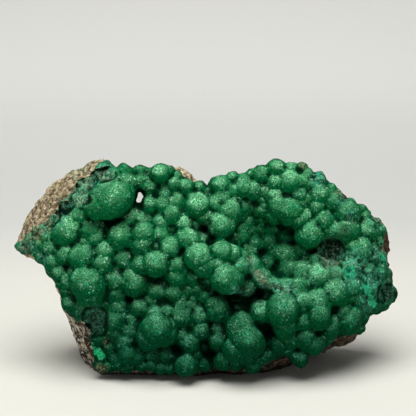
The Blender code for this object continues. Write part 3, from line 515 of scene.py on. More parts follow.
# Grape-like lumps, as (u, v, radius, lift towards the viewer, stretch, tilt in degrees)
LUMPS = [
    # The broad oval lump
    (-32, 58.5, 5.1, 4, 1.38, 28), (-36.8, 56.4, 3.7, 3.5), (-34.2, 60.4, 3.8, 3.2),
    # Left side
    (-47.2, 48, 3.5, 2, 1.15, 80), (-49.2, 51.3, 1.9, 0.3), (-53.5, 46.8, 2.1, 0.8),
    (-55.3, 44.2, 1.6, 0.8), (-52.1, 42.8, 2.5, 0.6), (-51.6, 38, 2.5, 0.8), (-47.6, 40.2, 2.3, 1.5),
    (-42, 39.6, 3.6, 2.5), (-40.9, 43.8, 2.3, 0.5), (-43.3, 53.4, 2.7, 0.5), (-41.4, 50.6, 1.7, 0.5),
    (-38.8, 48.6, 2.9, 1, 1.2, -10), (-37.3, 46, 2.4, 1.6), (-34.5, 41.5, 2.5, 2),
    (-35.2, 37.5, 2.6, 1.5), (-35.3, 50.2, 1.5, 0), (-34, 47, 1.3, 0), (-59, 45.2, 1.7, 0.3),
    (-57.3, 48, 1.6, -0.3), (-60.5, 42.4, 1.7, 0.3), (-57.4, 42.6, 1.6, 0), (-31.6, 66.4, 1.6, 0.4),
    (-31.8, 63.8, 1.8, 1.4),
    # Along the top
    (-27.8, 68.3, 2.2, 0), (-22.7, 68.4, 1.7, 0.5, 1.4, 5), (-16, 67.6, 3.4, 3), (-13.2, 68.2, 2.2, 1.5),
    (-26.8, 64.2, 2.5, 1), (-22.3, 64.9, 2.2, 0.7), (-19.3, 63.2, 2.1, 0.8), (-19.6, 66.6, 1.5, 0),
    (-14.4, 63.7, 1.4, 0), (-11.3, 63.9, 2, 0.6), (-10.4, 66.6, 1.8, 0.3, 1.4, -60),
    (-14.3, 60.7, 1.9, 0.5), (-10, 59.9, 1.5, 0),
    (-7.3, 63.2, 2.5, 1.2), (-2.8, 63.1, 1.9, 0), (0.2, 60.8, 1.2, -0.5),
    # Middle
    (-19.5, 57, 3.2, 2, 1.2, 90), (-15.1, 56.9, 2.2, 1.2), (-10.9, 57.5, 1.9, 0.5),
    (-12, 53.6, 2.5, 1.5, 1.15, 90), (-7.9, 50.6, 2.3, 1), (-8.4, 53.7, 1.7, 0.3), (-4.8, 50.2, 2.1, 1),
    (-26.2, 52.3, 2, 0.5, 1.6, 48), (-21.5, 51.9, 2, 0.5, 1.4, -20), (-15.6, 50.7, 2, 1),
    (-13.2, 48.7, 1.4, 0), (-23.7, 56, 1.3, -1.5), (-31.6, 49.2, 1.5, 0), (-29.2, 46.7, 3.6, 2.5),
    (-21.5, 47.4, 3.3, 2.5), (-21.9, 43.8, 3, 2.2), (-16.3, 46.8, 2.2, 1, 1.2, 90), (-12.9, 45.5, 1.4, 0),
    (-12.7, 42.3, 2.9, 1.8), (-16.8, 42.3, 1.6, 0.5), (-17.2, 37.5, 3.8, 3.2), (-21.9, 37.2, 2.9, 2.2),
    (-28.1, 39.3, 2.8, 1.2), (-30.9, 41.6, 1.9, 0.3), (-30.6, 34.7, 1.8, 0), (-25.8, 35.6, 1.8, 0.5),
    (-10, 36.9, 2.8, 1.4), (-3.5, 56.7, 3.6, 2.2), (-1.2, 53.5, 2.7, 2.5), (2.7, 57.2, 2.3, 1.5),
    (7.3, 54.5, 3.5, 2.8), (4.5, 49.9, 3.5, 3.5), (10.4, 53.6, 1.7, 1.5), (-6.4, 45.3, 3.2, 2, 1.2, -15),
    (-2.8, 45, 2.3, 1.5), (0.4, 46.2, 1.3, -0.5), (3.6, 44.5, 2, 0, 1.5, 0),
    (-3.2, 39.8, 4, 3.6), (-1.4, 36.9, 3.2, 3.2), (4.4, 41, 3.1, 3.2), (7.6, 40.4, 2.9, 2.6),
    (2.9, 37.4, 2.3, 2.6), (10.9, 39.4, 2.1, 2.6),
    # Upper right
    (4, 63.8, 2.9, 1.5, 1.22, 8), (8, 66.3, 1.8, 0.5), (11.8, 65.4, 2.2, 0.8), (14.5, 67.2, 1.8, 0.3),
    (17.6, 67.2, 2.8, 1.2), (9, 61.9, 2.1, 1), (12, 62.8, 2.5, 1.8), (14.8, 61.8, 2.4, 1.6),
    (9.3, 58.8, 1.9, 0.8), (12.9, 58.4, 1.4, 0.4), (4.8, 59.6, 2.5, 1, 1.12, 0), (11.8, 56, 2, 1),
    (14.5, 55.8, 1.7, 0.6), (17.9, 55.5, 2, 1.2), (17.2, 52.4, 1.7, 0), (18.5, 61.4, 2, 0.8),
    (17.6, 58.9, 1.9, 0.6), (12.9, 51.7, 2.2, 0.2), (10.9, 48.7, 2.2, 0.4), (14, 48.7, 2, 0.2),
    (10.2, 45.9, 2.1, 0.3), (17.4, 49.2, 2, 0.2), (21.5, 48.8, 2.3, 0.2), (15.2, 44, 2.4, 0.4),
    (20.2, 44.4, 2.8, 0.6), (13.8, 41.1, 2.3, 0.4), (19.5, 37.2, 2, 0), (22.7, 69.4, 2.7, 1.5),
    (27.7, 69, 2.2, 0.8), (31.3, 69.6, 1.7, 0.2), (22.7, 64.8, 2.3, 1.2), (27.3, 64.7, 2.6, 1.8, 1.3, 90),
    (31, 64.7, 1.9, 1.2), (33.1, 66.9, 2.2, 0.8), (37, 65.6, 2.3, 0.8), (33.3, 63.9, 1.9, 0.3),
    (37.1, 60.5, 2.3, 1.2), (30.4, 60.4, 1.7, 1.4), (30.7, 57.6, 1.9, 0.8), (33.3, 59, 1.7, 0.5, 1.4, 90),
    (40.6, 62.6, 1.8, 0.3), (42.8, 60.6, 1.7, 0.2), (41, 58.4, 2.4, 0.8),
    (46.1, 54.8, 3.2, 2.2, 1.3, -15), (36, 56.6, 2, 0.6), (36, 53.6, 1.5, 0),
    (45.4, 48.6, 3.2, 1.6, 1.2, 0), (38.5, 51.8, 2.8, 1.2), (41, 48.9, 2.5, 1), (24, 56.4, 3.3, 2.6),
    (27.5, 55, 3.5, 3.4), (30.2, 52.4, 2.6, 2.6), (22.2, 53.5, 2.4, 2), (22.5, 60.2, 2.5, 1.2),
    (25.7, 59.3, 1.8, 0.8), (32.5, 53.4, 1.8, 1.2), (34.8, 50.3, 1.8, 1.6), (33.8, 46.8, 3.4, 3),
    (26.4, 46.3, 2, -0.5, 1.3, 0), (25.6, 40.6, 3.2, 1.5, 1.5, -4), (31.5, 41.8, 2.1, 0.3),
    (33, 38.5, 1.7, 0), (36, 38.5, 1.6, 1),
    # Right side
    (51.8, 48.3, 2.9, 1.2, 1.15, 0), (52, 53.2, 2.2, 1.2), (51, 55.6, 1.6, 0.5), (47.4, 57.6, 1.6, 0.3),
    (49.6, 42, 3.5, 1.8), (57.2, 48.8, 2.2, 0.8), (55.8, 51.2, 1.7, 0.3), (56.6, 44.6, 2.1, 0.6),
    (57, 39.6, 2.6, 1.2), (54.6, 39.8, 2, 0.8), (53.4, 42.4, 2.1, 0.5), (59, 34, 2.3, 0.6),
    (57.4, 31, 2.8, 0.6), (56, 34.4, 2.5, 1), (52.5, 34.6, 2.5, 1.2), (53.3, 29.5, 2.9, 2.2),
    (55, 25.1, 2.7, 1.8), (56.2, 22.5, 2.2, 1), (58.4, 24.2, 2.6, 0.5), (51.2, 37, 1.7, 0.8),
    (47, 36.2, 3, 1.2), (42.4, 27.8, 3.6, 2.6), (47.4, 29, 3, 1.8), (48.6, 25.8, 2.6, 1.6),
    (44.4, 25, 2, 1.2), (42, 33.4, 2.2, 0.8, 1.3, 0), (46.3, 32.6, 2.4, 0.8), (36.4, 33.2, 3.3, 1.5),
    (32, 34, 3.2, 1.4), (27.4, 35, 3.3, 1), (38.5, 36.6, 1.8, 0.6), (51.9, 23.5, 2.3, 0.8),
    # Lower right
    (36.3, 24.4, 3.3, 2.4), (36.9, 20, 2.8, 3.4, 1.3, 90), (40.3, 16.4, 2.5, 1.6, 1.4, 90),
    (35.4, 10.8, 3.9, 2), (38.9, 12.7, 2.7, 1.4), (46.4, 19, 3.6, 1.4), (44.8, 21.8, 2.4, 1.2),
    (48.6, 20.4, 2.3, 1.2), (51, 19.8, 2.4, 0.6), (50.4, 15.8, 1.9, 0.6), (46.8, 16.4, 2.6, 1),
    (31.3, 24.6, 2.5, 2.4), (31.4, 18.4, 2.7, 1), (32.3, 13, 3.2, 1.4), (30.5, 5.9, 2.7, 1.4),
    (30.2, 29, 2.7, 2.4), (24.8, 21.6, 4.8, 3.8, 1.12, 90), (25.4, 17.2, 3.7, 3.2), (18.2, 21.2, 3, 2.4),
    (23.5, 11.6, 3, 1.4), (27.3, 12.2, 2.5, 2), (26.4, 9.2, 2.2, 1.2), (19.5, 10.6, 1.9, 0),
    (19.2, 7.3, 2.2, 0.2), (22.3, 7.6, 1.9, 0.3), (20.7, 27, 1.8, 0.3),
    # The worn ridge
    (14.6, 36.8, 2.2, 2.8, 1.8, -55), (17.8, 32.6, 2.2, 3, 1.7, -50), (21.6, 30.2, 2, 2.6, 1.8, -22),
    (26, 29.4, 2.3, 2.6, 1.5, -8),
    # Lower middle
    (6.3, 32.3, 4.1, 3.8), (10.4, 36, 2.7, 3.2), (13, 25.2, 1.5, 0.8), (12.8, 28.9, 2.4, 1.8),
    (10.2, 21.7, 2, -0.5, 1.4, 0), (10.8, 15.9, 4, 3.2), (12.9, 11.9, 4.6, 3.8), (9.8, 9.2, 3.8, 3.6),
    (15.7, 10.8, 2.9, 2.6), (13, 6.8, 2.4, 2.2), (15, 3.2, 2.7, 1.8), (16.3, 5.5, 2.4, 1.6),
    (5.6, 5.4, 3.5, 1.8), (9, 4.6, 2.6, 1.6), (16.4, 16.6, 2, 0.4), (7.3, 18.4, 1.7, 0),
    (3.3, 22.6, 3.4, 2.4, 1.25, -62), (-0.9, 26.8, 1.9, 0.8), (1.2, 26.2, 1.9, 0.8), (3.4, 15.7, 1.8, 0),
    (3.6, 11.8, 2.9, 1), (-2.4, 20, 2.5, 1.4), (-1.9, 23.7, 1.5, 0), (-2.3, 15.2, 2.7, 1.4),
    (-5.3, 17, 1.9, 0.4), (-6, 11, 2.8, 1.8), (-8.6, 13.7, 2.5, 0.8), (-1, 10.3, 1.8, 0.2),
    (-7.4, 3.6, 3.8, 2.6, 1.12, 0), (-1.6, 4, 2.3, 0.6), (-5, 7.4, 2, 0.6),
    # Lower left
    (-24, 30.8, 3.5, 2.4), (-17.1, 28.4, 2.5, 1), (-14.6, 30.6, 1.6, 0), (-11.4, 27.7, 2.7, 1.2),
    (-18.6, 24.9, 2, 0.6, 1.2, -15), (-21.6, 27.1, 1.6, -0.3), (-22.3, 22.6, 2.4, 1.2),
    (-17.2, 15.5, 4.6, 3.4, 1.08, 0), (-19.9, 13, 3.2, 3), (-14.3, 13.8, 3.3, 3), (-17.4, 20.4, 2.4, 1.8),
    (-13.7, 21.4, 1.9, 1.4), (-12.3, 17.2, 2.1, 1.8), (-9, 19.9, 2.9, 2), (-9.2, 23.9, 2.4, 1.2),
    (-6, 23.4, 2, 0.8), (-6.5, 28.7, 1.9, 0.4), (-3.2, 29.2, 2.1, 0.4), (-5.3, 26.3, 1.8, 0.2),
    (-10.4, 33.4, 2.7, 1.4), (-5, 32.8, 1.7, 1.2), (-40.2, 30.6, 4.7, 3.6), (-39, 27.6, 3.6, 3),
    (-31.2, 31.4, 2.6, 1.2), (-30.7, 27.2, 2.6, 0.8), (-46.2, 24.1, 2.4, 0.6), (-41.8, 22.3, 2.3, 0.3),
    (-47.1, 28.4, 1.8, 0.2), (-46.6, 31.2, 2, 0.6), (-49.2, 30.9, 2.1, 0.3), (-49.5, 34.2, 2.4, 0.6),
    (-52.4, 34.6, 1.6, 0), (-44.3, 34, 1.9, 0.2), (-29.9, 23.1, 2.6, 0.4), (-26.1, 23.8, 1.7, 0),
    (-31.2, 18.6, 2.5, 0.6, 1.5, 90), (-30.7, 14.2, 2, 0), (-25.8, 14.8, 2.1, 0.4), (-25, 18, 1.8, 0),
    (-27.8, 10.8, 2.3, 0.8), (-26.8, 7.4, 2.7, 1.2), (-29.9, 5, 1.8, 0.2), (-26.9, 2.9, 1.9, 0.4),
    (-33.2, 2.8, 1.5, 0), (-17.3, 7.5, 2.2, 0.4), (-13.4, 7.4, 2.5, 0.6), (-19.1, 3.6, 2, 0.3),
    (-22, 3.4, 1.9, 0.2), (-12.8, 2.4, 1.8, 0), (-23.9, 6.6, 1.9, 0.4), (-36, 7, 1.8, 0),
    (-36.4, 12.6, 1.8, 0),
]
# Lumps that have broken off, leaving a dished face, as (u, v, radius, lift)
BROKEN_LUMPS = [
    (41.1, 41.4, 4.9, 1.6), (9.5, 27.6, 2.8, 1.6), (-55.6, 39.6, 2.2, 0.2),
]
# Lumps that have been broken across
CUT_LUMPS = [
    (-42, 58.6, 3.4, 1.6), (-47.2, 56.2, 2.7, 1.2), (-35, 67.2, 3.6, 0.4), (-41.4, 63.2, 3, 0.2),
    (-37.6, 19.4, 4, 0.4), (-36.6, 15, 2.8, 0.2), (-41.6, 21, 2.4, 0.2), (59.6, 27.4, 3.6, 0.8),
]

LUMP_SWELL = 1.00  # how far the lumps have swelled into one another
MOST_GROWTH = 0.15  # how much of its radius a lump may still grow to meet its neighbours
GROWTH_SHARE = 0.5  # how much of the mean gap to the nearest ones it grows, and how much besides
GROWTH_REST = 0.2
NEIGHBOURS = 4
WINDOW_RISE = 0.15  # how much more room than at its sides the window has above and below
PROUD_EDGE = 0.8  # how far a lump may stand out over the crust's outline
# Where the lumps have run together into broad low swells, as (u, v, reach, share)
LOW_PLACES = [
    (47, 50, 7, 0.5), (54, 42, 7, 0.7), (46, 36, 6, 0.8), (52, 31, 8, 0.7), (58, 28, 6, 0.7),
    (35, 33, 6, 0.8), (40, 27, 5, 0.3), (47, 19, 5, 0.4), (-43, 63, 4.5, 0.9), (-51, 53, 4, 0.8),
    (-37, 67, 4.5, 0.9), (-57, 44, 4, 0.5), (-36.5, 20, 4.5, 1), (-34, 9, 5, 0.7), (40, 60, 6, 0.5),
    (-30, 16, 5, 0.4),
]


def edge_distance(u, v):
    """How far (u, v) lies from the crust's outline."""
    at = Vector((u, v))
    nearest = math.inf
    for start, end in CRUST_EDGES:
        start, edge = Vector(start), Vector(end) - Vector(start)
        share = max(0.0, min(1.0, (at - start).dot(edge) / edge.length_squared))
        nearest = min(nearest, (at - start - edge * share).length)
    return nearest


def lowness(u, v):
    """How far the lumps round (u, v) have run together, 0 to 1. Takes numbers or arrays."""
    share = 0.0 * u
    for *place, most in LOW_PLACES:
        share = np.maximum(share, most * nearness(u, v, *place))
    return share


def clear_of_window(u, v, radius):
    """radius, or what it has to come down to for the window to stay open."""
    apart = math.dist((u, v), WINDOW[:2])
    return min(radius, apart - WINDOW[3] - WINDOW_RISE * abs(v - WINDOW[1]) / apart)


MOST_STRETCH = 1.16  # a lump that isn't listed with a stretch is a little longer one way or another
LOW_SPREAD = 0.30  # how much wider lumps are where they have run together, and how much lower
LOW_SINK = 0.36
SHAPE_SEED = 21

chance = random.Random(SHAPE_SEED)
rows = []
for u, v, radius, lift, *shape in LUMPS:
    gaps = sorted(math.dist((u, v), other[:2]) - radius - other[2] for other in LUMPS)
    gap = sum(gaps[1:1 + NEIGHBOURS]) / NEIGHBOURS
    growth = max(0.0, min(MOST_GROWTH * radius, GROWTH_SHARE * gap + GROWTH_REST))
    edge = edge_distance(u, v)
    radius += LUMP_SWELL + growth
    low = float(lowness(u, v))
    radius = min(radius * (1.0 + LOW_SPREAD * low), max(radius - LUMP_SWELL, edge + PROUD_EDGE))
    stretch, tilt = shape or (chance.uniform(1.0, MOST_STRETCH), chance.uniform(0.0, 180.0))
    radius = clear_of_window(u, v, radius)
    rows.append((u, v, radius, lift - LOW_SINK * low * radius, stretch, tilt, False))
broken_rows = [(*row, 1.0, 0.0, True) for row in BROKEN_LUMPS]
broken_rows += [(*row, 1.0, 0.0, False) for row in CUT_LUMPS]

RIM_STEPS = (1.9, 3.4)  # spacing of the lumps that turn round the crust's edge
RIM_RADII = (1.8, 3.2)
RIM_INSET = 0.8  # how far inside the outline their centres lie, as a share of their radius
RIM_SETBACKS = (2.5, 6.0)
RIM_SEED = 11

chance = random.Random(RIM_SEED)
rim_rows = []
for start, end in CRUST_EDGES:
    edge = Vector(end) - Vector(start)
    inwards = Vector((edge.y, -edge.x)).normalized()
    gone = chance.uniform(0.0, 0.5) * RIM_STEPS[0]
    while gone < edge.length:
        radius = chance.uniform(*RIM_RADII)
        setback = chance.uniform(*RIM_SETBACKS)
        u, v = Vector(start) + edge * (gone / edge.length) + inwards * RIM_INSET * radius
        if all(math.dist((u, v), place) > reach for *place, reach in BROKEN_EDGES):
            rim_rows.append((u, v, radius, -setback, 1.0, 0.0, False))
        gone += chance.uniform(*RIM_STEPS)

LIFT_SPREAD = (0.75, 0.5)  # how far a lump lifts the bed round it: a share of its radius, and a rest
LIFT_REST = 0.15  # how strongly the bed falls back to the face away from all the lumps
lump_u, lump_v, lump_radius, lump_lift = np.array([row[:4] for row in rows]).T


def lift_near(u, v):
    """Mean lift of the lumps round each (u, v), the nearest counting for most."""
    away = np.hypot(np.asarray(u)[..., None] - lump_u, np.asarray(v)[..., None] - lump_v)
    weight = np.exp(-((away / (LIFT_SPREAD[0] * lump_radius + LIFT_SPREAD[1])) ** 2))
    return (weight * lump_lift).sum(axis=-1) / (weight.sum(axis=-1) + LIFT_REST)


# Deep gaps and flat broken places that no small lump has filled, as (u, v, reach, depth)
EMPTY_PLACES = [
    (-0.8, 49, 2, 3.5), (10.6, 42.6, 1.6, 3), (16.6, 26.6, 2.6, 3.5), (0.2, 7.6, 1.6, 3),
    (21.5, 13.8, 1.5, 3), (-14.6, 9.6, 1.3, 2.5), (-26, 26.8, 1.3, 2.5), (-36.8, 19, 4.4, 0),
    (-35.6, 69, 4, 0), (-42.5, 58.8, 3.2, 0), (-40.5, 64, 4.2, 0), (-47.5, 57.5, 4, 0),
    (-51.5, 52.5, 3, 0), (41.1, 41.4, 4.6, 3.2), (-21, 41, 1.2, 1.5), (8.5, 22.8, 1.6, 1.5),
]
FILLER_STEP = 0.8  # how finely the gaps are searched for the widest
FILLER_WANDER = (-0.3, 0.3)
FILLER_START = (-66.0, 1.0)  # where the search starts, at the lower left, and how far it goes
FILLER_SPAN = (130.0, 72.0)
FILLER_CUT = 2.0  # how far small lumps stay from the window's middle, as a share of its reach
FILLER_SEED = 4
FILLER_OVERLAP = 1.2
FILLER_RADII = (1.7, 2.8)
FILLER_SINKS = (-0.3, 0.7)  # how far behind its neighbours a small lump's middle lies

chance = random.Random(FILLER_SEED)
spots = []
for up in range(round(FILLER_SPAN[1] / FILLER_STEP)):
    for along in range(round(FILLER_SPAN[0] / FILLER_STEP)):
        u = FILLER_START[0] + along * FILLER_STEP + chance.uniform(*FILLER_WANDER)
        v = FILLER_START[1] + up * FILLER_STEP + chance.uniform(*FILLER_WANDER)
        empty = any(math.dist((u, v), place) < reach for *place, reach, _ in EMPTY_PLACES)
        if not empty and is_inside(u, v) and window_distance(u, v) > FILLER_CUT:
            spots.append((u, v))
spots = np.array(spots)
room = np.full(len(spots), math.inf)
for u, v, radius, _, stretch, tilt, _ in rows:
    along, across = turned_to(*(spots - (u, v)).T, tilt)
    room = np.minimum(room, np.hypot(along / stretch, across) - radius)
filler_rows = []
while room.max() > FILLER_RADII[0] - FILLER_OVERLAP:
    widest = int(room.argmax())
    u, v = spots[widest]
    radius = clear_of_window(u, v, min(FILLER_RADII[1], room[widest] + FILLER_OVERLAP))
    lift = float(lift_near(u, v)) - chance.uniform(*FILLER_SINKS)
    filler_rows.append((u, v, radius, lift, 1.0, 0.0, False))
    room = np.minimum(room, np.hypot(*(spots - (u, v)).T) - radius)
    room[widest] = 0.0

LOBED_RADIUS = 3.0  # larger lumps than this have grown as several lobes
LOBES = (1, 3)
LOBE_SHARE = (0.55, 0.70)  # a lobe's radius, as a share of its lump's
LOBE_REACH = 0.54  # how far from the lump's middle they lie, as a share of its radius
LOBE_ASIDE = (0.35, 1.0)  # how much of that is to one side
LOBE_RISE = 0.65
LOBE_SEED = 9

chance = random.Random(LOBE_SEED)
lobe_rows = []
for u, v, radius, lift, *_ in rows:
    for _ in range(chance.randint(*LOBES) if radius > LOBED_RADIUS else 0):
        turn = chance.uniform(0.0, 2.0 * math.pi)
        share = chance.uniform(*LOBE_SHARE)
        aside = radius * LOBE_REACH * chance.uniform(*LOBE_ASIDE)
        forward = math.sqrt(max(0.0, (radius * LOBE_REACH) ** 2 - aside**2))
        at = (u + aside * math.cos(turn), v + aside * math.sin(turn))
        lobe = clear_of_window(*at, radius * share)
        lobe_rows.append((*at, lobe, lift + forward * LOBE_RISE, 1.0, 0.0, False))

# ---- Malachite crust: its bed ----
# Under the lumps the malachite is one bed, which rises with them and shows only in the gaps. Its back
# lies on the slab.

BED_START = (-70.0, -4.0)
BED_SPAN = (140.0, 84.0)
BED_RISE = 0.5  # how far the bed's surface lies in front of its lumps' middles
BED_BACK = 5.6  # how far its back lies behind the face
BED_LEAST = 1.5  # its least thickness
BED_SQUARE = 0.8  # how wide the squares of its grid are
BED_SWELL = 0.9  # how much thicker the bed is where the lumps have run together
BED_CUT = 1.3  # how far it stays from the window's middle, as a share of the window's reach
BED_WANDER = (3.0, 0.6)  # size and depth of the wander of its surface
WANDER_SEED = 5

bpy.ops.object.select_all(action="DESELECT")
bpy.ops.mesh.primitive_grid_add(
    x_subdivisions=round(BED_SPAN[0] / BED_SQUARE), y_subdivisions=round(BED_SPAN[1] / BED_SQUARE), size=1.0
)
bed = bpy.context.object
bed.name = "crust_bed"
edit(bed, "DESELECT")
bpy.ops.mesh.select_mode(type="FACE")
close()
for vertex in bed.data.vertices:
    u = BED_START[0] + (vertex.co.x + 0.5) * BED_SPAN[0]
    v = BED_START[1] + (vertex.co.y + 0.5) * BED_SPAN[1]
    vertex.co = (u, 0.0, v)
for face in bed.data.polygons:
    u, _, v = face.center
    face.select = window_distance(u, v) < BED_CUT or not is_inside(u, v)
bpy.ops.object.mode_set(mode="EDIT")
bpy.ops.mesh.delete(type="FACE")
bpy.ops.mesh.select_all(action="SELECT")
bpy.ops.mesh.extrude_region_move(TRANSFORM_OT_translate={"value": (0.0, 1.0, 0.0)})
close()
noise.seed_set(WANDER_SEED)
places = points_of(bed)
u, v = places[:, 0], places[:, 2]
front = face_depth(u, v) - lift_near(u, v) - BED_RISE - BED_SWELL * lowness(u, v)
for *place, deep in EMPTY_PLACES:
    front = front + deep * nearness(u, v, *place)
back = np.maximum(face_depth(u, v) + BED_BACK, front + BED_LEAST)
depths = np.where(places[:, 1] > 0.0, back, front)
for vertex, depth in zip(bed.data.vertices, depths):
    u, _, v = vertex.co
    wander = noise.noise_vector(Vector((u, 0.0, v)) / BED_WANDER[0]) * BED_WANDER[1]
    vertex.co = seat(u + wander.x, float(depth), v + wander.y)
edit(bed)
bpy.ops.mesh.normals_make_consistent(inside=False)
close()

# ---- Malachite crust: its lumps ----
# One ball, which reaches back to its root, is modelled and then copied to every place. A lump that has
# broken off has left a shallow dish.

LUMP_ROOT = 0.5  # how far a lump reaches back into the bed, as a share of its radius
LUMP_SKIRT = 1.05  # how much a lump has spread where it meets the bed
LUMP_BACK = 0.05  # what lies further back than this on the ball belongs to the root
DISH_RIM = 0.30  # how far a broken lump's rim stands out, and how deep its dish is, as shares too
DISH_DEPTH = 0.60

bpy.ops.object.select_all(action="DESELECT")
bpy.ops.mesh.primitive_ico_sphere_add(subdivisions=3, radius=1.0)
pattern = bpy.context.object
pattern.name = "lump_pattern"
edit(pattern, "DESELECT")
close()
for vertex in pattern.data.vertices:
    vertex.select = vertex.co.y > LUMP_BACK
bpy.ops.object.mode_set(mode="EDIT")
bpy.ops.mesh.select_mode(type="VERT")
bpy.ops.transform.translate(value=(0.0, LUMP_ROOT, 0.0))
bpy.ops.transform.resize(value=(LUMP_SKIRT, 1.0, LUMP_SKIRT), center_override=(0.0, 0.0, 0.0))
close()

lumps = []
centres = []
radii = []
for u, v, radius, lift, stretch, tilt, broken in rows + lobe_rows + broken_rows + rim_rows + filler_rows:
    lump = bpy.data.objects.new("lump", pattern.data.copy())
    bpy.context.scene.collection.objects.link(lump)
    depth = float(face_depth(u, v)) - lift
    size = radius * (SIGHT_DISTANCE + depth) / SIGHT_DISTANCE * MM
    for vertex in lump.data.vertices:
        if vertex.co.y > LUMP_BACK:
            vertex.co.y += max(0.0, lift) / radius
        elif broken:
            across = math.hypot(vertex.co.x, vertex.co.z)
            vertex.co.y = max(vertex.co.y, DISH_DEPTH * (1.0 - across**2) - DISH_RIM)
    turned = Matrix.Rotation(-SIGHT_TILT, 4, "X") @ Matrix.Rotation(-math.radians(tilt), 4, "Y")
    sized = Matrix.Diagonal((size * stretch, size, size, 1.0))
    lump.matrix_world = Matrix.Translation(seat(u, depth, v)) @ turned @ sized
    lumps.append(lump)
    centres.append(seat(u, depth, v) / MM)
    radii.append(radius)
bpy.data.objects.remove(pattern)

pick(*lumps, bed)
bpy.ops.object.join()
crust = bed
crust.name = "malachite_lumps"
crust.data.name = "malachite_lumps"

# ---- Malachite crust: grown together and finished ----
# Neighbouring balls meet in sharp creases. The skin is velvety with fine crystals, deep green down the sides,
# and rough where a lump has been knocked off; on the crests, which face the viewer and upwards, a painted
# sheen and painted glints stand for the light, and the creases and shut-in gaps are painted dark as shade.

CRUST_VOXEL = 0.0005
CREASE_WEAR = 5  # how often the creases between lumps are evened
CRUST_GRAINS = [
    ("CLOUDS", 0.0045, 0.0010, 0.5, ""), ("VORONOI", 0.0026, -0.0005, 0.35, ""),
    ("CLOUDS", 0.0020, 0.0013, 0.6, "knocked"), ("VORONOI", 0.0022, 0.0007, 0.5, "knocked"),
    ("CLOUDS", 0.0008, 0.0003, 0.5, ""),
]
CRUST_TRIANGLES = 190000

grow_together(crust, CRUST_VOXEL)
edit(crust)
bpy.ops.mesh.separate(type="LOOSE")
close()
bodies = sorted(bpy.context.selected_objects, key=lambda body: len(body.data.vertices))
for scrap in bodies[:-1]:
    bpy.data.objects.remove(scrap)
crust = bodies[-1]
crust.name = "malachite_lumps"
wear(crust, CREASE_WEAR)
apply_all(crust)

# Faces where the crust has been broken across, as (u, v, half length, half width, tilt in degrees,
# how far the face stands out, how far it leans away to the right and upwards, and how square it is:
# 2 is an oval)
BROKEN_FACES = [
    (-41.6, 63.4, 6.2, 2.9, 42, 1.5, 0, 0.45, 4), (-34.6, 67, 4.4, 2.6, 15, 1.6, 0, 0.40, 4),
    (-42, 58.8, 3.1, 2.3, 20, 3.3, 0, 0.25, 4), (-47.4, 56.4, 2.5, 2.2, 40, 2.2, -0.4, -0.2, 4),
    (-51.6, 52.4, 3, 2, 50, 1.2, -0.3, 0.3, 4), (-37.8, 18, 5.4, 4.6, 90, 1.2, 0, -0.25, 4),
    (59.6, 27.4, 3.6, 3.4, 80, 4.6, 1, -0.1, 4), (41.2, 40.6, 5.6, 5.4, 0, 1.9, 0.15, 0.36, 2),
]
FACE_SHARPNESS = 3.0  # how sharply a face ends: it blends into the lumps over a third of its reach


def pressed(u, d, v):
    """d with every broken face pressed flat into it."""
    for at_u, at_v, half_length, half_width, tilt, front, lean, rise, square in BROKEN_FACES:
        along, across = turned_to(u - at_u, v - at_v, tilt)
        edge = 1.0 - (along / half_length) ** square - (across / half_width) ** square
        share = np.clip(FACE_SHARPNESS * edge, 0.0, 1.0)
        flat = face_depth(at_u, at_v) - front + lean * (u - at_u) + rise * (v - at_v)
        d = d + share * np.maximum(0.0, flat - d)
    return d


u, d, v = layout_of(points_of(crust))
crust.data.vertices.foreach_set("co", seats(u, pressed(u, d, v), v).ravel())
crust.data.update()

# Rough and broken places, as (u, v, reach, amount)
BROKEN_PLACES = [
    (-35.2, 68.4, 3.6, 0.9), (-39.5, 65, 3.4, 1), (-43.2, 62.4, 3.2, 1), (-47, 58.6, 3.2, 1),
    (-50.5, 54.5, 3.4, 1), (-54.5, 50, 3.2, 0.9), (-60.5, 43.2, 3.4, 1), (-55.3, 39.6, 1.9, 0.8),
    (-38.4, 18.4, 4.4, 0.8), (41.1, 40.2, 4.2, 1), (36.8, 65.8, 2.8, 0.8), (13.5, 37.8, 2.2, 0.5),
    (16.2, 34, 2.2, 0.8), (18.8, 31, 2.2, 0.8), (22.8, 29.4, 2.4, 0.9), (27, 28.8, 2.4, 0.8),
    (59.8, 27, 3.6, 0.5), (54.6, 33, 4.5, 0.8), (49.5, 37.6, 4.5, 0.8), (45, 59.5, 2.6, 0.7),
    (56.4, 51, 2.8, 0.7), (9.5, 27.6, 2.6, 0.7), (57, 41, 3.6, 0.8), (47.4, 53.8, 2.6, 0.6),
    (47.6, 31, 3, 0.6), (53.4, 24.4, 3, 0.6),
]
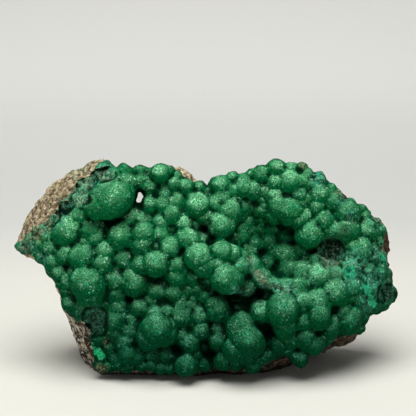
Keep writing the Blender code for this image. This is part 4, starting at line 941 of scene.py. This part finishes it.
# Fresh turquoise-green places and streaks, and painted highlights on the upper parts of the large forward
# lumps, as (u, v, reach, amount, stretch, tilt in degrees)
BRIGHT_PLACES = [
    (-35.8, 7, 1, 1.9, 4.6, -50), (-36.5, 64.5, 0.7, 1.4, 1.8, -45), (-41, 56.8, 0.6, 0.8, 4, 25),
    (-47.7, 59, 0.8, 0.7, 2.2, 40), (-54.7, 46.8, 1.4, 0.6), (-42, 38.6, 1.6, 0.6, 1.4, 30),
    (-40.6, 29.6, 1.4, 0.7, 1.8, -35), (-39.4, 27.4, 0.9, 0.7), (-50.6, 57, 1.4, 0.5),
    (47.3, 34.6, 2, 1.9, 1.3, -25), (53, 29.2, 1.3, 1.8, 2.2, -70), (54.7, 25, 1.3, 1.4, 2.2, -60),
    (58.8, 38.8, 1.2, 1.2, 2, -50), (57.7, 33.7, 0.6, 1, 2, 85), (49.8, 42.8, 1.2, 0.8, 2, 10),
    (47, 54.8, 0.8, 0.9, 3, -8), (34.4, 46.8, 0.9, 0.9), (31, 60.2, 0.9, 0.8, 1.6, 80),
    (31.5, 30, 1.2, 0.7), (45.3, 27.7, 0.7, 0.8, 2, -60), (51.2, 25.6, 1.2, 0.6, 1.6, -50),
    (55.6, 30.4, 0.6, 0.8, 3, -75), (50.2, 45.6, 0.9, 0.6, 2.2, 20), (29.4, 56.4, 1.6, 0.7, 1.5, -40),
    (33.6, 50.6, 1, 0.7, 1.5, 30), (27.4, 65.2, 1.3, 0.6), (23, 69.8, 1.2, 0.5), (36.6, 66, 1, 0.7),
    (-7.3, 63, 1.4, 0.5), (-12.7, 42.4, 1.6, 0.55, 1.4, 40), (-17, 38.6, 1.8, 0.55, 1.4, -20),
    (-3, 40.8, 2, 0.55, 1.4, 20), (10.4, 36.8, 1.4, 0.6, 1.6, -40), (6.4, 33.6, 2, 0.55),
    (24.6, 23.4, 2.2, 0.6, 1.5, -30), (12.4, 13.6, 2.4, 0.6, 1.5, -60), (-17.6, 15.4, 2, 0.55, 1.4, 10),
    (36.2, 21.6, 1.4, 0.6, 1.8, -60), (46.2, 18.4, 1.6, 0.55), (-47.2, 49, 1.4, 0.5),
    (4.8, 50.6, 1.4, 0.5),
]
# Brown places, where the rock's stain lies on the malachite
BROWN_PLACES = [
    (-57.5, 47.5, 2.8, 0.9), (-54.4, 50.6, 2.4, 0.9), (-51.2, 54.6, 2.2, 0.9), (-48.4, 59.2, 2.2, 0.9),
    (-44.6, 62.8, 2.2, 0.8), (-40.6, 66.4, 2.4, 0.8), (-61, 43.4, 2, 0.7), (16.8, 34.2, 1.2, 0.9),
    (18.6, 31.8, 1.3, 0.9), (20.6, 30.2, 1.1, 0.7), (39.6, 38.6, 1.6, 0.6), (42.6, 37.6, 1.3, 0.6),
    (-35.4, 2.8, 1.8, 0.6), (31.6, 70, 1.4, 0.6), (13.8, 38.6, 1.1, 0.5), (44.2, 60.6, 1.4, 0.9),
    (57.2, 52, 1.6, 0.9), (58.8, 42.6, 1.4, 0.8), (-34, 11.4, 1.4, 0.5),
]
# Darker, smoother places; at (16.6, 26.6) and (-1, 49), in deep gaps, the darkness is painted shade
DARK_PLACES = [
    (41.3, 42.2, 4.2, 1.3), (45.4, 48.6, 2.6, 0.4), (46.8, 53, 2, 0.5), (-47.8, 55.4, 2.2, 1),
    (60.2, 28, 3, 0.8), (12.9, 28.8, 2.2, 0.6), (-37.6, 19, 4.2, 0.7), (61, 33, 2, 0.6),
    (16.6, 26.6, 2.6, 1), (42.2, 33.4, 2.2, 0.5), (-61, 41.8, 2.2, 0.5), (-1, 49, 2.6, 0.8),
]
# Pale broken faces that show the fibres' ends
PALE_PLACES = [
    (-42.2, 58.8, 2.5, 1), (-34.8, 67.2, 2.8, 0.9), (-40.6, 63.8, 2.4, 0.6), (40, 38.2, 2.4, 0.45),
    (17, 33.2, 1.2, 0.6, 3, -50), (24, 29, 1.1, 0.6, 3, -20),
]
RINGS = (40.8, 42.0, 1.15)  # growth rings of the lump that has broken off: u, v and spacing
RAGGED = (1.4, 1.2)  # size and depth of the wander of these places' edges
LEAST_KNOCK = 0.02  # a point that is knocked less than this is left smooth
CREST_SHARES = (0.82, 0.57)  # a lump's crest faces the viewer and upwards, in these shares; its painted sheen and glints lie there
FORWARD_REACH = (3.0, 10.0)  # how far behind the plain face forward places begin, and over what depth
OPEN_REACH = 0.008
RAY_START = 0.0002  # how far off the skin the search for open space starts
PLACE_FALL = (1.6, 1.2)  # a place is at full strength to half its reach, and gone by four thirds of it
CREASE_SPAN = (4, 0.3)  # over how many points a crease lies deep, and by how many millimetres


def openness(piece, reach, rays=12):
    """How much of the space in front of each point is free for this far: 1 in the open, 0 shut in."""
    triangles = [tuple(triangle.vertices) for triangle in piece.data.loop_triangles]
    tree = BVHTree.FromPolygons([vertex.co for vertex in piece.data.vertices], triangles)
    fan = []
    for i in range(rays):
        up = math.sqrt(1.0 - (i + 0.5) / rays)
        turn = i * math.pi * (3.0 - math.sqrt(5.0))
        across = math.sqrt(1.0 - up * up)
        fan.append(Vector((across * math.cos(turn), across * math.sin(turn), up)))
    free = np.empty(len(piece.data.vertices))
    for vertex in piece.data.vertices:
        turned = Vector((0.0, 0.0, 1.0)).rotation_difference(vertex.normal)
        start = vertex.co + vertex.normal * RAY_START
        shut = sum(tree.ray_cast(start, turned @ ray, reach)[0] is not None for ray in fan)
        free[vertex.index] = 1.0 - shut / rays
    return evened(piece, free, 2)


def painted(places, u, v):
    """How strongly each point lies in any of these places, 0 to 1."""
    amounts = np.zeros(len(u))
    for at_u, at_v, reach, amount, *shape in places:
        stretch, tilt = shape or (1.0, 0.0)
        along, across = turned_to(u - at_u, v - at_v, tilt)
        away = np.hypot(along / stretch, across) / reach
        amounts = np.maximum(amounts, amount * np.clip(PLACE_FALL[0] - PLACE_FALL[1] * away, 0.0, 1.0))
    return amounts


u, d, v = layout_of(points_of(crust))
rough_group = crust.vertex_groups.new(name="knocked")
for index, amount in enumerate(painted(BROKEN_PLACES, u, v)):
    if amount > LEAST_KNOCK:
        rough_group.add([index], float(amount), "REPLACE")
rough_up(crust, CRUST_GRAINS)
apply_all(crust)
crust.data.calc_loop_triangles()
thin = crust.modifiers.new("thin", "DECIMATE")
thin.ratio = min(1.0, CRUST_TRIANGLES / len(crust.data.loop_triangles))
apply_all(crust)
press_foot(crust)
crust.data.shade_smooth()

BATCH = 8000  # how many points are set against all the lumps at a time
place = points_of(crust)
u, d, v = layout_of(place)
centres = np.array([tuple(centre) for centre in centres])
radii = np.array(radii)
nearest = np.zeros(len(place), dtype=int)
crest = np.zeros(len(place))
crest_way = np.array(UPWARD) * CREST_SHARES[1] - np.array(AWAY) * CREST_SHARES[0]
for first in range(0, len(place), BATCH):
    some = place[first:first + BATCH] / MM
    offsets = some[:, None, :] - centres[None, :, :]
    mine = (np.linalg.norm(offsets, axis=2) - radii[None, :]).argmin(axis=1)
    nearest[first:first + BATCH] = mine
    outward = offsets[np.arange(len(some)), mine]
    outward /= np.linalg.norm(outward, axis=1)[:, None]
    crest[first:first + BATCH] = outward @ crest_way
chance = random.Random(FILLER_SEED)
tones = np.array([chance.random() for _ in radii])
store(crust, "crest", np.clip(crest, 0.0, 1.0))
store(crust, "lump_tone", tones[nearest])
store(crust, "forward", np.clip((bend_depth(u) - d + FORWARD_REACH[0]) / FORWARD_REACH[1], 0.0, 1.0))
crust.data.calc_loop_triangles()
store(crust, "open_space", openness(crust, OPEN_REACH))
store(crust, "crease", np.clip(-standing_out(crust, CREASE_SPAN[0]) / CREASE_SPAN[1], 0.0, 1.0))
wander = np.array([noise.noise_vector(Vector(point) / RAGGED[0]) for point in place / MM])
u, v = u + RAGGED[1] * wander[:, 0], v + RAGGED[1] * wander[:, 2]
for name, places in (("broken", BROKEN_PLACES), ("bright", BRIGHT_PLACES), ("brown", BROWN_PLACES),
                     ("dark", DARK_PLACES), ("pale", PALE_PLACES)):
    store(crust, name, painted(places, u, v))
rings = np.hypot(u - RINGS[0], v - RINGS[1]) / RINGS[2]
store(crust, "rings", 0.5 + 0.5 * np.sin(2.0 * math.pi * rings))
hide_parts("malachite_crust")
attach(crust, "root")

nodes, links, shader, in_place = finish_of(crust, "velvety_malachite")
above = parted(in_place)["Z"]
speckle = cloud(0.42, 2, 0.75)
glitter = cloud(0.75, 3, 0.7)
velvet = cloud(0.9, 2, 0.6)
drift = cloud(3.2, 3)
forward, crest, tone = read("forward"), read("crest"), read("lump_tone")
# Painted sheen: greyish sage on the crests, which face the viewer and upwards, and on forward places, laid in
# dusty patches
dust_and_sheen = worked(
    ranged(cloud(11, 2), 0.36, 0.62, 1.0, 0.35), ranged(drift, 0.30, 0.60, 1.0, 0.35),
    ranged(forward, 0.15, 0.75, 1.0, 0.12), ranged(tone, 0.0, 1.0, 1.15, 0.60), ranged(crest, 0.55, 0.97),
)
sage = blended(ranged(speckle, 0.41, 0.57), (0.003, 0.088, 0.033), (0.220, 0.590, 0.320))
# Painted glints: pale specks on the forward crests
painted_glints = worked(
    ranged(glitter, 0.58, 0.66), ranged(drift, 0.44, 0.62),
    ranged(forward, 0.1, 0.4), ranged(crest, 0.2, 0.8),
)
# Painted light and shade: the crust is darker low down and lighter higher up
painted_light_by_height = blended(ranged(above, 0.012, 0.050), (0.30, 0.54, 0.56), (1.36, 1.44, 1.34))
# Painted shade: places that lie further back are darker
painted_shade_set_back = blended(ranged(forward, 0.0, 0.45), (0.34, 0.55, 0.53), WHITE)
# Brighter green patches, laid mostly on the crests as a painted highlight
patches_and_crest_light = worked(ranged(cloud(1.7, 5, 0.7), 0.60, 0.66), ranged(crest, 0.2, 0.7), 0.6)
veins = worked(worked(cloud(3.4, 4), 0.5, kind="SUBTRACT"), 0.0, kind="ABSOLUTE")
chipped = layered(
    (0.002, 0.040, 0.024),
    (ranged(cloud(1.3, 4), 0.42, 0.60), (0.050, 0.200, 0.125)),
    (ranged(cloud(2.2, 4), 0.54, 0.62), (0.045, 0.420, 0.220)),
    (ranged(veins, 0.022, 0.006), (0.120, 0.560, 0.370)),
    (ranged(glitter, 0.60, 0.68), (0.40, 0.72, 0.56)),
)
brown = blended(ranged(cloud(0.8), 0.42, 0.58), (0.028, 0.032, 0.016), (0.290, 0.270, 0.155))
# Dark places: the faces' own dark colour with growth rings, and painted shade in the deep gaps
dark_faces_and_shade = worked(ranged(cloud(0.7), 0.46, 0.60), read("rings"))
dark_faces_and_shade = blended(dark_faces_and_shade, (0.002, 0.016, 0.011), (0.120, 0.190, 0.135))
fibrous = blended(ranged(cloud(0.7, 3, 0.7), 0.42, 0.58), (0.030, 0.110, 0.055), (0.290, 0.480, 0.310))
# Fresh turquoise-green places, and painted highlights on the large forward lumps
fresh_and_highlight = ranged(worked(worked(read("bright"), 0.36), cloud(1.1, 4), kind="ADD"), 0.76, 0.82)
emerald = blended(ranged(above, 0.020, 0.026), (0.001, 0.290, 0.090), (0.016, 0.300, 0.145))
emerald = blended(ranged(glitter, 0.47, 0.66), emerald, (0.090, 0.560, 0.320))
green = layered(
    (0.0005, 0.036, 0.014),
    # Painted shade: places further back keep the darker green
    (forward, (0.0012, 0.092, 0.030)),
    (ranged(cloud(8), 0.35, 0.65, 0.6), (0.0030, 0.090, 0.018)),
    (ranged(tone, 0.0, 1.0, 0.5), (0.0020, 0.125, 0.040)),
    (ranged(velvet, 0.40, 0.60, 0.6), (0.0005, 0.034, 0.015)),
    (ranged(glitter, 0.52, 0.68, 0.5), (0.012, 0.230, 0.095)),
    (dust_and_sheen, sage),
    (painted_glints, (0.44, 0.68, 0.53)),
    (1, painted_light_by_height, "MULTIPLY"),
    (1, painted_shade_set_back, "MULTIPLY"),
    (patches_and_crest_light, (0.040, 0.430, 0.220)),
    (worked(read("broken"), 0.8), chipped),
    (worked(read("brown"), ranged(cloud(1.3, 4), 0.42, 0.50)), brown),
    (worked(read("dark"), 0.9), dark_faces_and_shade),
    (worked(read("pale"), ranged(velvet, 0.36, 0.46)), fibrous),
    (fresh_and_highlight, emerald),
    # Painted shade in the creases between lumps
    (ranged(read("crease"), 0.15, 0.70, 0.85), (0.0003, 0.014, 0.006)),
    # Painted shade where the space in front is shut in, deep in the gaps
    (ranged(read("open_space"), 0.80, 0.40, 0.97), (0.0003, 0.010, 0.004)),
)
links.new(green, shader.inputs["Base Color"])
gloss = worked(ranged(speckle, 0.35, 0.70, 0.44, 0.74), worked(read("broken"), 0.1), kind="ADD")
links.new(gloss, shader.inputs["Roughness"])
shader.inputs["Specular IOR Level"].default_value = 0.012
velvety = raised((speckle, 0.8, 0.20), (velvet, 0.7, 0.35))
links.new(velvety, shader.inputs["Normal"])
